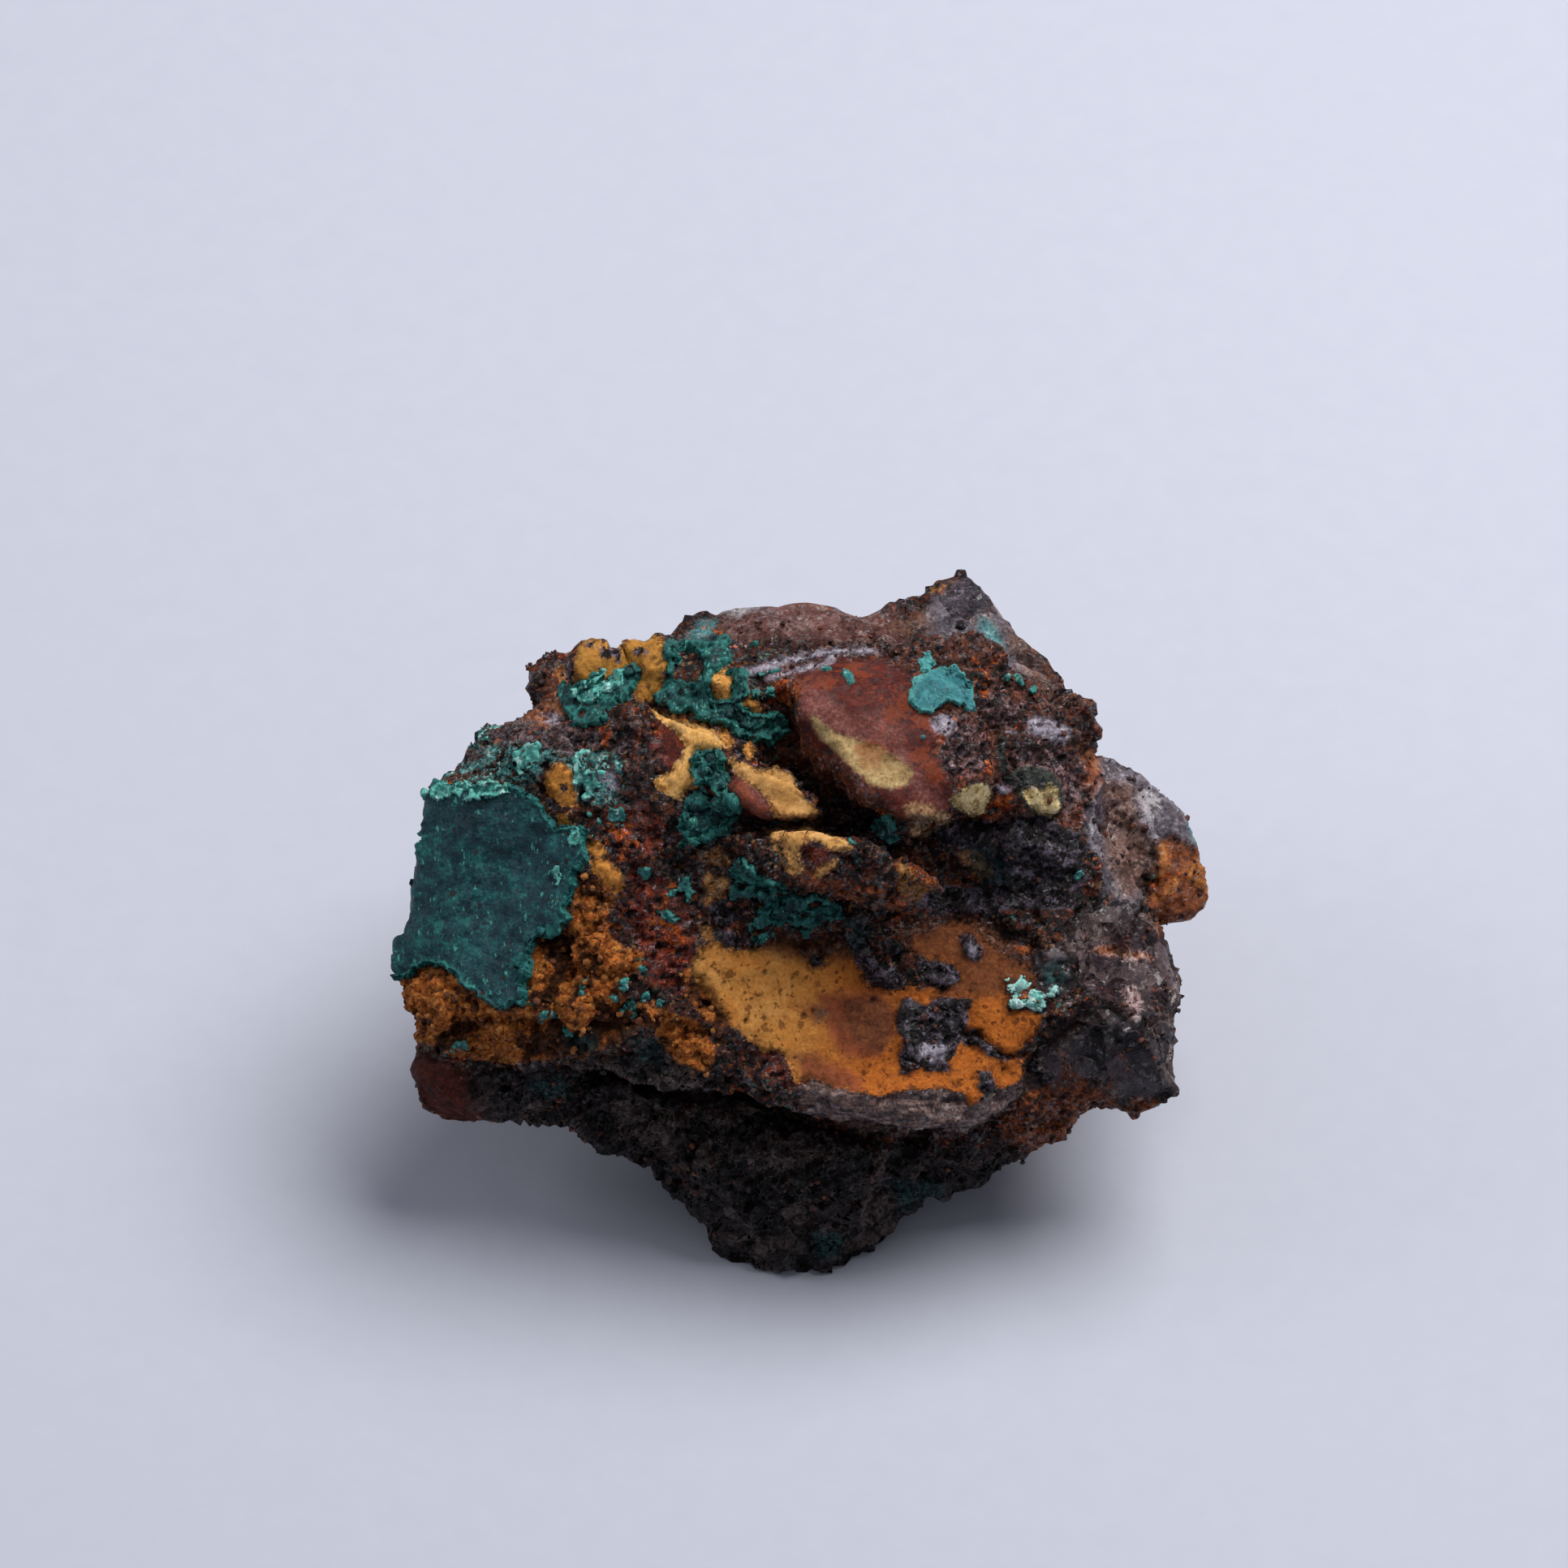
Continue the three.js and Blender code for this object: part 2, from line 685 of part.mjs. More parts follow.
// Moves each point by smooth noise, so that flat faces turn uneven and nothing tears.
function weathered(geometry) {
  const noise = new SimplexNoise({ random: randoms(ROCK_SEED + 1) });
  const position = geometry.getAttribute("position");
  for (let i = 0; i < position.count; i++) {
    const from = new THREE.Vector3().fromBufferAttribute(position, i);
    const to = from.clone();
    for (const { size, depth } of WEATHERING) {
      const p = from.clone().divideScalar(size);
      to.x += depth * noise.noise3d(p.x, p.y, p.z);
      to.y += depth * noise.noise3d(p.y + 31, p.z, p.x);
      to.z += depth * noise.noise3d(p.z, p.x + 57, p.y);
    }
    position.setXYZ(i, to.x, to.y, to.z);
  }
  return geometry;
}

// Everything below the rest plane goes, which leaves the flat feet.
function cutAtRestPlane(solid) {
  const below = new THREE.BoxGeometry(80, 80, 10).translate(0, 0, -5);
  return largest(solid.subtract(solidFrom(below)));
}

function rock() {
  const grown = join([
    mainBody(),
    frontFoot(),
    rearSeat(),
    backRidge(),
    backPeak(),
    rightLump(),
    farLeftLump(),
    lowerLeftKnob(),
    lowerLeftChin(),
    lowerRightChin(),
    redBlock(),
    ...cobbles(),
  ]);
  const opened = grown.subtract(cleft()).add(upperFold()).subtract(underFold()).add(lowerFold());
  const fine = weathered(withShortEdges(geometryFrom(largest(opened))));
  return cutAtRestPlane(solidFrom(fine));
}

// ---- Crusts: skins that follow the rock inside an outline on the face ----
const CRUSTS = {
  crust_plate: {
    thickness: 0.9,
    outline: [
      [-22.2, 6.2], [-19.8, 6.3], [-17.3, 6.7], [-16.2, 5.6], [-14.5, 3.9], [-12.9, 3.9], [-12.9, 1.9],
      [-13.4, 0.7], [-14.0, -1.5], [-14.8, -2.3], [-15.9, -2.7], [-16.2, -5.0], [-16.6, -6.8],
      [-18.4, -7.3], [-20.5, -5.7], [-21.4, -4.6], [-22.7, -4.3], [-23.9, -5.3], [-24.7, -5.0],
      [-25.3, -3.0], [-25.1, -2.1], [-23.9, -1.6], [-23.8, 0.6], [-22.6, 3.4], [-23.0, 3.6], [-23.0, 5.5],
    ],
  },
  crust_patch: {
    thickness: 0.7,
    outline: [
      [7.0, 12.6], [8.2, 14.6], [9.2, 13.8], [10.0, 13.6], [10.6, 12.6], [10.9, 11.6], [10.6, 11.0],
      [9.6, 11.5], [8.6, 11.6], [8.0, 11.1], [7.0, 11.4],
    ],
  },
  crust_crest: {
    thickness: 0.8,
    outline: [
      [-14.2, 12.4], [-12.0, 13.6], [-9.6, 14.0], [-9.0, 13.0], [-9.6, 12.0], [-10.6, 11.8],
      [-11.6, 10.6], [-13.0, 10.0], [-14.0, 11.0],
    ],
  },
  crust_saddle: {
    thickness: 0.8,
    outline: [
      [-8.2, 15.0], [-5.4, 15.4], [-3.6, 14.8], [-3.2, 13.0], [-1.2, 11.2], [-0.4, 9.8], [-1.6, 8.9],
      [-3.0, 9.2], [-3.9, 9.0], [-4.4, 10.6], [-6.2, 11.0], [-8.6, 11.6], [-8.0, 13.2],
    ],
    knobs: [[-2.9, 10.4, 1.3, 1.0], [-1.1, 10.3, 0.8, 1.1], [-2.0, 9.6, 1.0, 0.9]],
  },
  crust_rosette: {
    thickness: 0.9,
    outline: [
      [-6.3, 8.7], [-4.9, 8.7], [-4.6, 6.6], [-3.4, 6.2], [-3.5, 4.4], [-4.6, 3.3], [-6.2, 3.2],
      [-7.2, 4.2], [-7.0, 5.4], [-5.8, 6.4],
    ],
    knobs: [[-6.2, 4.6, 2.2, 1.2], [-4.5, 5.2, 2.8, 1.1], [-5.4, 7.6, 2.2, 1.0], [-5.2, 3.9, 2.4, 0.9]],
  },
  crust_ledge: {
    thickness: 0.6,
    outline: [
      [-4.6, 2.2], [-3.2, 1.9], [-1.6, 0.4], [0.6, -0.6], [2.8, -1.2], [2.4, -2.2], [0.4, -2.6],
      [-1.4, -3.2], [-2.2, -3.0], [-3.0, -2.0], [-4.2, -1.0], [-4.8, 0.6],
    ],
  },
};

function prismOn(outline) {
  const shape = new THREE.Shape(outline.map(([u, v]) => new THREE.Vector2(u, v)));
  const prism = new THREE.ExtrudeGeometry(shape, { depth: 2 * CRUST_REACH, bevelEnabled: false });
  return solidFrom(prism.translate(0, 0, -CRUST_REACH - 1).applyMatrix4(FACE_FRAME));
}

function crust(body, { outline, thickness, knobs = [] }) {
  const random = randoms(ROCK_SEED + outline.length);
  const skin = moved(body, OUT, GAP + thickness).intersect(prismOn(outline));
  const lumps = knobs.map(([u, v, w, r]) => cobble(onFace([u, v, w + 0.6]), [r, r, r], random));
  return largest(join([skin, ...lumps]).subtract(moved(body, OUT, GAP)).subtract(body));
}

// ---- The scene graph ----
const ROCK_MATERIAL = new THREE.MeshStandardMaterial({ color: 0x5a3a2a, roughness: 0.85, metalness: 0.0 });
const CRUST_MATERIAL = new THREE.MeshStandardMaterial({ color: 0x1f6b5c, roughness: 0.55, metalness: 0.0 });

const matrix = rock();
const specimen = new THREE.Group();
specimen.name = "pseudomalachite_specimen";

function place(name, solid, material) {
  const mesh = new THREE.Mesh(geometryFrom(solid), material);
  mesh.name = name;
  specimen.add(mesh);
}

place("matrix", matrix, ROCK_MATERIAL);
for (const [name, spec] of Object.entries(CRUSTS)) place(name, crust(matrix, spec), CRUST_MATERIAL);

const middle = new THREE.Box3().setFromObject(specimen).getCenter(new THREE.Vector3());
specimen.position.set(-middle.x, -middle.y, 0);

export default specimen;
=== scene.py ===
"""Looks for the pseudomalachite specimen: a lump of dark gossan with ochre and teal-green crusts.

Shapes are worked out in millimetres in the part's frame and written to Blender in metres. Places on the
broad face are given as pixels of the 1932 x 1932 view that the camera below takes.
"""
import math

import bmesh
import bpy
import numpy as np
from mathutils import Matrix, Vector


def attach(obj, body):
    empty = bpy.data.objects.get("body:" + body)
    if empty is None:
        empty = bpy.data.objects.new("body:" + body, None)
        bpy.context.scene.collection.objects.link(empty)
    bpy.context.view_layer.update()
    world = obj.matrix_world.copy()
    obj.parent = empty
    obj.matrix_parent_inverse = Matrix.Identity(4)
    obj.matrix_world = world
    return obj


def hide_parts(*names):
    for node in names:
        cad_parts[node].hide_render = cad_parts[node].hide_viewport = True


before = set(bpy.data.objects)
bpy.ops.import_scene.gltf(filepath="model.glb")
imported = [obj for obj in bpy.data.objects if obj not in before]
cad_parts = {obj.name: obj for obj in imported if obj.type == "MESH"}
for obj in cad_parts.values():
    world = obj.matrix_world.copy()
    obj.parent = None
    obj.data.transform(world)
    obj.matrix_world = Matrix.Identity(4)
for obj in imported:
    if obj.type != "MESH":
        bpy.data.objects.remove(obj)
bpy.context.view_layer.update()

# ---- The face and the view ----
MM = 0.001
LEAN = math.radians(50)
ACROSS = np.array([1.0, 0.0, 0.0])
UP = np.array([0.0, math.sin(LEAN), math.cos(LEAN)])
OUT = np.array([0.0, -math.cos(LEAN), math.sin(LEAN)])
FACE_ORIGIN = np.array([-0.474, -6.310, 23.0])
FACE_PX = (980.0, 1100.0)
AXIS_PX = 966.0
PX_PER_MM = 20.0
VIEW_DISTANCE = 900.0
VIEW_WIDTH = 1932 / PX_PER_MM
SENSOR = 36
# The share of a point's facing from which it counts as shown, and how far out the regions behind begin.
SHOWN = 0.3
BACK_START = -4


def to_face(points):
    """Across, up and out from the face's origin, in millimetres."""
    local = points - FACE_ORIGIN
    return local @ ACROSS, local @ UP, local @ OUT


def to_view(points):
    """Where points show in the view, in pixels, and how far out they stand in millimetres."""
    u, v, w = to_face(points)
    grow = VIEW_DISTANCE / (VIEW_DISTANCE - w)
    x = AXIS_PX + (PX_PER_MM * u + FACE_PX[0] - AXIS_PX) * grow
    y = AXIS_PX - (PX_PER_MM * v - FACE_PX[1] + AXIS_PX) * grow
    return np.stack([x, y], axis=1), w


# ---- Noise ----
def scramble(ix, iy, iz, seed):
    """A repeatable number from 0 to 1 for each cell of a grid."""
    h = (ix * 374761393 + iy * 668265263 + iz * 974634777 + seed * 1442695041) & 0xFFFFFFFF
    h = ((h ^ (h >> 13)) * 1274126177) & 0xFFFFFFFF
    h = ((h ^ (h >> 16)) * 2246822519) & 0xFFFFFFFF
    return ((h ^ (h >> 13)) & 0xFFFFFF) / 16777216.0


def perlin(points, size, seed):
    """Smooth noise from about -1 to 1 with features of the given size."""
    p = points / size
    cell = np.floor(p).astype(np.int64)
    f = p - cell
    ease = f * f * f * (f * (f * 6 - 15) + 10)
    total = np.zeros(len(points))
    for dx in (0, 1):
        for dy in (0, 1):
            for dz in (0, 1):
                ix, iy, iz = cell[:, 0] + dx, cell[:, 1] + dy, cell[:, 2] + dz
                tall = 2 * scramble(ix, iy, iz, seed) - 1
                turn = 2 * math.pi * scramble(ix, iy, iz, seed + 101)
                ring = np.sqrt(1 - tall * tall)
                reach = f - np.array([dx, dy, dz])
                slope = reach[:, 0] * ring * np.cos(turn) + reach[:, 1] * ring * np.sin(turn)
                slope += reach[:, 2] * tall
                weight = np.ones(len(points))
                for axis, d in enumerate((dx, dy, dz)):
                    weight = weight * (ease[:, axis] if d else 1 - ease[:, axis])
                total += weight * slope
    return total * 1.6


def fractal(points, size, octaves, seed, gain=0.5):
    """Noise on several scales, each half the size of the one before."""
    total, depth = np.zeros(len(points)), 1.0
    for k in range(octaves):
        total += depth * perlin(points, size / 2**k, seed + 17 * k)
        depth *= gain
    return total


def cells(points, size, seed):
    """The nearest two grain centres' distances in grain sizes, the grain's number and the way to it."""
    p = points / size
    cell = np.floor(p).astype(np.int64)
    first = np.full(len(points), 9.0)
    second = np.full(len(points), 9.0)
    number = np.zeros(len(points))
    way = np.zeros((len(points), 3))
    for dx in (-1, 0, 1):
        for dy in (-1, 0, 1):
            for dz in (-1, 0, 1):
                at = cell + np.array([dx, dy, dz])
                ix, iy, iz = at[:, 0], at[:, 1], at[:, 2]
                centre = at + np.stack([scramble(ix, iy, iz, seed + k) for k in (1, 2, 3)], axis=1)
                gap = p - centre
                far = np.sqrt((gap * gap).sum(axis=1))
                nearer = far < first
                second = np.where(nearer, first, np.minimum(second, far))
                first = np.where(nearer, far, first)
                number = np.where(nearer, scramble(ix, iy, iz, seed + 4), number)
                way = np.where(nearer[:, None], gap, way)
    return first, second, number, way


def creases(points, size, octaves, seed, gain=0.55):
    """Noise with sharp ridges, from about -0.5 to 0.5."""
    total, depth, reach = np.zeros(len(points)), 1.0, 0.0
    for k in range(octaves):
        total += depth * (1 - 2 * np.abs(perlin(points, size / 2**k, seed + 13 * k)))
        reach += depth
        depth *= gain
    return total / reach - 0.45


def facets(points, size, seed):
    """Flat tilted faces, one for each grain, from about -0.5 to 0.5."""
    _, _, number, way = cells(points, size, seed)
    turn = 2 * math.pi * number
    tilt = np.stack([np.cos(turn), np.sin(turn), np.cos(3 * turn)], axis=1) * 0.55
    return (way * tilt).sum(axis=1) + (number - 0.5) * 0.5


def smooth(low, high, value):
    """0 up to low and 1 from high on, with a soft step between."""
    t = np.clip((value - low) / (high - low), 0, 1)
    return t * t * (3 - 2 * t)


# ---- Outlines on the face, in pixels of the view ----
def pairs(text):
    """Places written as numbers, with commas inside a place and spaces between places."""
    return [tuple(map(float, place.split(","))) for place in text.split()]


def traces(text):
    """Outlines with a semicolon between them."""
    return [pairs(outline) for outline in text.split(";")]


def spot(x, y, radius, stretch=1.0):
    """A small round outline."""
    return [
        (x + radius * stretch * math.cos(a), y + radius * math.sin(a))
        for a in np.linspace(0, 2 * math.pi, 8, endpoint=False)
    ]


PLATE = traces("""
    519,1010 520,985 527,972 545,966 575,968 600,972 630,968 648,972 662,985 676,1003 690,1020 705,1018
    722,1022 720,1040 726,1062 712,1078 708,1100 697,1120 702,1132 690,1146 678,1146 663,1153 660,1166
    655,1180 656,1200 650,1216 648,1236 630,1240 614,1246 600,1236 590,1226 575,1216 562,1200 551,1192
    535,1188 524,1188 514,1196 504,1206 492,1206 484,1199 474,1180 464,1160 468,1145 486,1138 498,1132
    498,1110 500,1090 510,1068 520,1045 524,1033 516,1030
""")
PATCH = traces("""
    1118,855 1121,842 1134,832 1150,825 1163,820 1176,819 1186,826 1196,838 1199,850 1198,862 1200,873
    1191,878 1183,870 1172,866 1160,866 1150,872 1142,878 1130,877 1121,870
""")
PATCH_TIP = traces("1131,824 1136,812 1143,804 1152,812 1158,818 1148,822 1136,829")
CREST = traces("""
    692,842 703,846 718,838 733,826 745,831 757,835 768,822 782,818 792,826 788,836 782,852 774,862
    762,866 752,874 748,886 738,892 722,896 708,896 700,884 692,868 690,854
""")
SADDLE = traces("""
    815,796 830,790 850,784 870,780 885,782 905,790 895,800 905,812 900,826 915,828 921,842 926,856
    914,862 916,872 932,878 958,878 972,888 975,900 965,912 950,920 938,912 920,912 905,908 895,896
    880,892 862,886 845,882 830,878 818,868 805,862 812,850 820,840 826,828 818,812
""")
SADDLE_HOLES = traces("""
    824,812 838,803 855,803 866,812 870,828 864,840 850,842 836,838 826,828;
    876,845 880,830 892,824 902,830 903,850 896,864 880,862
""")
SADDLE_TIP = traces("926,797 938,787 947,778 958,788 968,800 955,801 940,801")
ROSETTE = traces("""
    853,940 860,926 875,924 888,926 896,936 892,952 898,964 890,972 905,978 915,992 912,1006 900,1018
    898,1030 880,1036 860,1034 845,1038 838,1020 836,1006 842,990 852,982 866,980 880,986 886,980 876,968
    862,968 854,956
""")
LEDGE = traces("""
    905,1060 915,1055 925,1064 935,1080 950,1082 962,1086 975,1100 990,1105 1005,1102 1022,1108 1036,1120
    1038,1132 1020,1140 1003,1140 998,1152 990,1154 984,1142 965,1136 952,1140 948,1152 940,1162 928,1160
    920,1146 922,1128 935,1120 942,1108 930,1104 912,1108 902,1110 896,1098 904,1084
""")
# Small round flecks: x, y, radius and stretch.
SPOTS = pairs("""
    760,1003,11 795,1074,9 790,1194,7 778,1238,8 797,1228,7 812,1236,5 565,1290,8,1.3 715,1220,5
    755,1228,6 1255,843,5 1272,851,6 1240,835,4 1330,1078,6 1048,1037,5 740,1010,4 728,1002,4 1138,908,4
    950,851,5,1.6 1020,823,3,2.0
""")
FLECKS = [spot(*place) for place in SPOTS] + traces("""
    810,1120 822,1120 838,1130 830,1137 815,1131;
    812,1101 835,1093 843,1080 852,1076 850,1090 858,1098 845,1110 842,1101 825,1105;
    764,1204 776,1208 774,1222 767,1224 762,1214;
    662,1254 672,1245 684,1244 688,1254 676,1261 665,1262;
    690,1264 706,1268 716,1277 700,1277;
    1036,827 1044,829 1053,839 1047,846 1038,836;
    1074,1020 1078,1008 1092,1004 1102,1014 1108,1034 1098,1040 1082,1036 1074,1028;
    930,828 960,824 962,828 940,833;
    610,886 612,873 624,875 634,880 622,886
""")
SPRIG = traces("""
    1238,1212 1246,1200 1255,1206 1262,1198 1267,1210 1284,1215 1302,1214 1301,1226 1286,1230 1291,1240
    1274,1246 1258,1240 1246,1243 1241,1230
""")
FROST_CREST = traces("""
    710,852 722,838 740,828 758,822 774,830 766,848 748,862 730,872 714,866
""")
FROST_HIGH = traces("""
    528,978 545,966 575,962 604,964 628,966 632,978 606,984 585,990 560,984 538,990;
    700,1022 716,1018 722,1036 718,1056 704,1040;
    686,1070 696,1064 700,1084 690,1104 682,1090
""")
FROST_LOW = traces("""
    632,924 650,914 668,920 674,936 660,948 646,944 640,952 630,940;
    703,934 722,926 740,936 744,960 734,984 716,986 706,968;
    584,908 600,896 612,900 596,918
""")
TEAL_GRIT = traces("""
    600,925 625,915 660,918 680,928 705,932 740,922 765,932 775,958 765,985 740,990 712,986 705,950
    690,938 672,945 655,968 625,964 600,962 575,960 545,968 528,974 532,955 560,938 585,938;
    575,915 590,897 612,884 622,892 600,910 585,925
""")
OCHRE = traces("""
    706,842 708,815 712,798 730,786 754,788 770,792 777,806 779,822 758,826 745,836 725,843;
    768,797 776,782 796,777 818,785 815,798 824,812 818,826 818,840 812,858 802,863 786,866 782,850
    784,836 792,824 780,820 770,818;
    670,960 675,948 690,939 700,945 709,962 711,985 705,996 690,989 675,976;
    687,1002 698,1001 706,1018 700,1023 690,1012;
    720,1038 738,1034 746,1050 738,1060 722,1048;
    728,1062 748,1058 765,1072 770,1092 760,1102 742,1086 730,1076;
    800,872 822,878 845,888 870,892 885,905 894,922 880,925 862,926 853,940 856,955 862,966 850,972
    838,986 822,982 810,975 805,962 815,955 826,950 830,940 842,930 842,914 832,900 812,888;
    886,893 895,900 906,918 899,924 888,912;
    918,918 925,911 931,925 924,939 916,928;
    876,845 880,830 892,824 902,830 903,850 896,864 880,862;
    912,866 925,858 938,866 940,876 925,880
""")
TAN = traces("""
    897,934 910,938 930,946 945,951 958,944 975,953 986,973 996,989 1012,1003 1000,1010 980,1009 955,1007
    949,990 937,975 920,962 905,952;
    946,1022 962,1018 985,1017 1010,1021 1035,1029 1052,1040 1046,1051 1028,1047 1010,1039 994,1036
    982,1044 983,1058 992,1070 980,1078 968,1071 960,1056 950,1042;
    1000,1074 1016,1064 1032,1056 1026,1070 1008,1081
""")
CRUMBLY = traces("""
    1106,1060 1118,1064 1128,1080 1140,1092 1158,1096 1156,1108 1135,1114 1113,1104 1104,1088;
    860,1058 880,1049 900,1054 906,1062 886,1066 872,1064;
    868,1072 884,1076 899,1083 901,1100 886,1109 872,1119 863,1108 870,1092;
    860,1138 876,1143 882,1160 866,1160;
    1178,1052 1200,1044 1218,1056 1222,1084 1204,1088 1196,1068
""")
TAN_HOLES = traces("""
    956,1036 962,1034 968,1050 974,1066 969,1068 961,1052
""")
CREAM = traces("""
    1002,878 1014,892 1034,903 1058,911 1082,920 1104,934 1124,952 1118,966 1098,973 1077,968 1060,954
    1042,938 1024,924 1010,908 1000,892
""")
CREAM_LOW = traces("""
    1176,978 1190,971 1205,967 1219,964 1221,978 1217,990 1213,1004 1198,1007 1184,999 1172,990;
    1258,972 1270,968 1284,975 1294,965 1304,974 1306,992 1299,1004 1285,1005 1271,995 1262,984
""")
BLOCK_FOOT = traces("""
    1112,996 1124,988 1144,992 1166,1002 1176,1010 1160,1018 1146,1028 1128,1032 1120,1020 1128,1010
    1116,1006
""")
# The red block's lower flank: its red-brown is partly the rock's colour and partly painted light, lightening
# the shade under the overhang.
FLANK = traces("""
    946,878 975,884 996,905 1022,930 1056,952 1090,975 1112,992 1122,1008 1100,1014 1066,1002 1030,975
    1000,952 966,930 948,905
""")
BASIN = traces("""
    850,1185 865,1165 885,1160 905,1170 930,1170 950,1162 975,1158 990,1176 1020,1178 1040,1165 1060,1195
    1070,1212 1100,1222 1120,1215 1150,1218 1180,1215 1182,1200 1160,1185 1130,1175 1118,1160 1150,1146
    1175,1136 1195,1138 1215,1158 1240,1176 1262,1188 1276,1205 1262,1210 1245,1205 1240,1220 1240,1240
    1270,1245 1290,1250 1275,1275 1262,1290 1252,1300 1262,1318 1255,1335 1235,1341 1215,1336 1210,1350
    1195,1363 1184,1346 1165,1341 1135,1343 1105,1346 1085,1352 1070,1346 1040,1345 1020,1336 995,1330
    980,1336 974,1322 967,1300 955,1294 940,1298 933,1288 915,1275 900,1262 888,1245 875,1230 862,1215
    853,1200
""")
# Black patches: dark chunks of rock, and painted shade in the cavity under the red block and under the ledge.
DARK = traces("""
    1108,1236 1120,1229 1140,1240 1160,1228 1185,1230 1200,1231 1195,1245 1190,1262 1185,1280 1178,1295
    1165,1305 1170,1318 1150,1321 1130,1316 1113,1323 1110,1300 1114,1280 1103,1260;
    1185,1275 1200,1271 1215,1284 1235,1299 1251,1303 1240,1309 1222,1301 1205,1289 1190,1286;
    1042,1164 1062,1160 1075,1178 1098,1190 1112,1206 1106,1218 1082,1214 1062,1196;
    1080,1158 1100,1156 1118,1170 1108,1182 1090,1174;
    1128,1184 1150,1180 1175,1190 1184,1206 1165,1219 1142,1213;
    996,1178 1008,1176 1014,1188 1000,1190;
    1183,1154 1194,1148 1212,1168 1206,1184 1190,1178;
    1190,1010 1240,1012 1290,1005 1330,1030 1340,1080 1320,1120 1260,1120 1200,1128 1150,1122 1110,1122
    1150,1096 1200,1092 1224,1078 1210,1048 1176,1044 1150,1030;
    872,1115 888,1110 905,1118 908,1135 890,1142 876,1132;
    882,1150 896,1144 910,1152 912,1168 894,1168;
    1205,1320 1220,1322 1228,1338 1212,1350 1204,1338;
    737,800 742,794 750,798 758,796 767,801 766,810 764,818 758,816 756,808 748,813 740,810;
    780,802 788,799 799,801 796,807 788,810 783,807;
    720,794 728,789 736,793 730,798 723,799;
    738,822 745,821 745,828 738,828;
    810,825 819,826 817,833;
    690,967 698,964 702,972 694,977
""")
STAIN = traces("""
    988,1245 1003,1237 1023,1241 1022,1256 1000,1260;
    978,1302 1000,1298 1030,1310 1060,1330 1064,1346 1030,1342 990,1334;
    1006,1225 1080,1222 1105,1250 1085,1300 1040,1305 1020,1270
""")
LIP = traces("""
    976,1338 1000,1334 1030,1341 1060,1348 1085,1355 1110,1347 1140,1344 1165,1342 1185,1349 1195,1364
    1215,1354 1235,1344 1260,1332 1274,1316 1270,1340 1250,1364 1225,1382 1195,1397 1150,1402 1100,1398
    1050,1389 1010,1376 988,1364
""")
CLODS = traces("""
    478,1230 486,1206 505,1208 520,1190 550,1195 575,1218 612,1248 648,1240 654,1172 668,1154 700,1140
    712,1086 745,1084 758,1108 742,1138 760,1160 792,1176 785,1198 762,1212 770,1232 800,1238 830,1246
    862,1262 884,1290 872,1322 840,1312 808,1280 790,1262 760,1290 700,1302 620,1312 560,1302 500,1276;
    840,1200 856,1190 880,1232 900,1258 882,1270 858,1242
""")
FILM = traces("""
    985,830 1000,815 1040,808 1090,812 1122,832 1118,862 1150,880 1160,900 1152,930 1168,960 1178,985
    1165,1002 1140,1008 1110,1008 1090,987 1065,967 1040,947 1010,927 990,905 984,870;
    835,962 852,972 870,968 886,980 880,986 866,981 850,980;
    905,952 920,962 937,975 949,990 955,1007 930,1008 912,1000 905,978 898,960;
    820,890 834,902 842,914 840,930 826,946 815,930 812,905
""")
# Pale patches: a few pale lilac crystals, and painted highlight where glints lie, as along the top of the red
# block.
PALE = traces("""
    912,826 960,812 1010,801 1060,799 1100,802 1060,805 1010,808 968,819 920,832;
    940,834 985,822 1030,812 1028,816 985,828 945,840;
    1264,886 1280,880 1302,888 1322,900 1312,918 1290,912 1268,905;
    1145,885 1165,878 1180,890 1170,905 1150,900;
    1225,970 1240,965 1246,975 1232,980;
    1130,1290 1150,1284 1170,1290 1160,1305 1145,1308 1132,1300;
    735,955 755,950 765,970 752,982 736,975;
    668,880 680,876 694,884 686,893 672,890;
    1190,1165 1198,1160 1206,1172 1198,1180
""")
GREY = traces("""
    1262,1312 1300,1272 1320,1248 1350,1228 1380,1236 1410,1248 1462,1258 1476,1330 1462,1350 1430,1362
    1380,1366 1320,1350 1262,1352;
    1330,1115 1390,1112 1445,1150 1462,1195 1478,1235 1462,1262 1410,1250 1350,1228 1320,1200 1310,1150
""")
MAUVE_ROUGH = traces("""
    1340,1120 1390,1112 1445,1150 1462,1195 1466,1222 1436,1238 1400,1240 1350,1226 1325,1200 1318,1160
""")
GLINTY = traces("""
    600,905 622,890 640,885 660,893 690,892 716,898 752,906 772,905 770,930 740,920 705,930 690,925
    650,918 612,925;
    1142,882 1180,878 1210,900 1216,940 1192,962 1168,950 1150,920;
    1246,902 1290,915 1330,935 1336,980 1310,1000 1306,963 1280,943 1252,945;
    1196,846 1230,852 1262,880 1240,900 1208,884
""")
BLOCK = traces("""
    1080,800 1110,782 1160,770 1210,775 1262,800 1320,842 1352,870 1350,905 1362,960 1352,1004 1318,1024
    1240,1010 1180,1006 1150,900 1120,835
""")
SALMON = traces("""
    646,886 664,870 686,860 694,874 690,888 672,893 655,892;
    1346,1171 1362,1165 1392,1171 1420,1181 1394,1180 1360,1175
""")
HIDE = traces("""
    500,1300 530,1296 566,1318 598,1340 610,1366 600,1384 530,1386 503,1345
""")
# Faces of the grey block that are painted darker, as painted shade.
SLATE_PAINTED_SHADE = traces("""
    1290,1300 1330,1270 1380,1250 1398,1262 1418,1300 1440,1345 1400,1348 1360,1328 1325,1322 1295,1330;
    1270,1180 1300,1165 1325,1185 1330,1215 1300,1235 1280,1215
""")
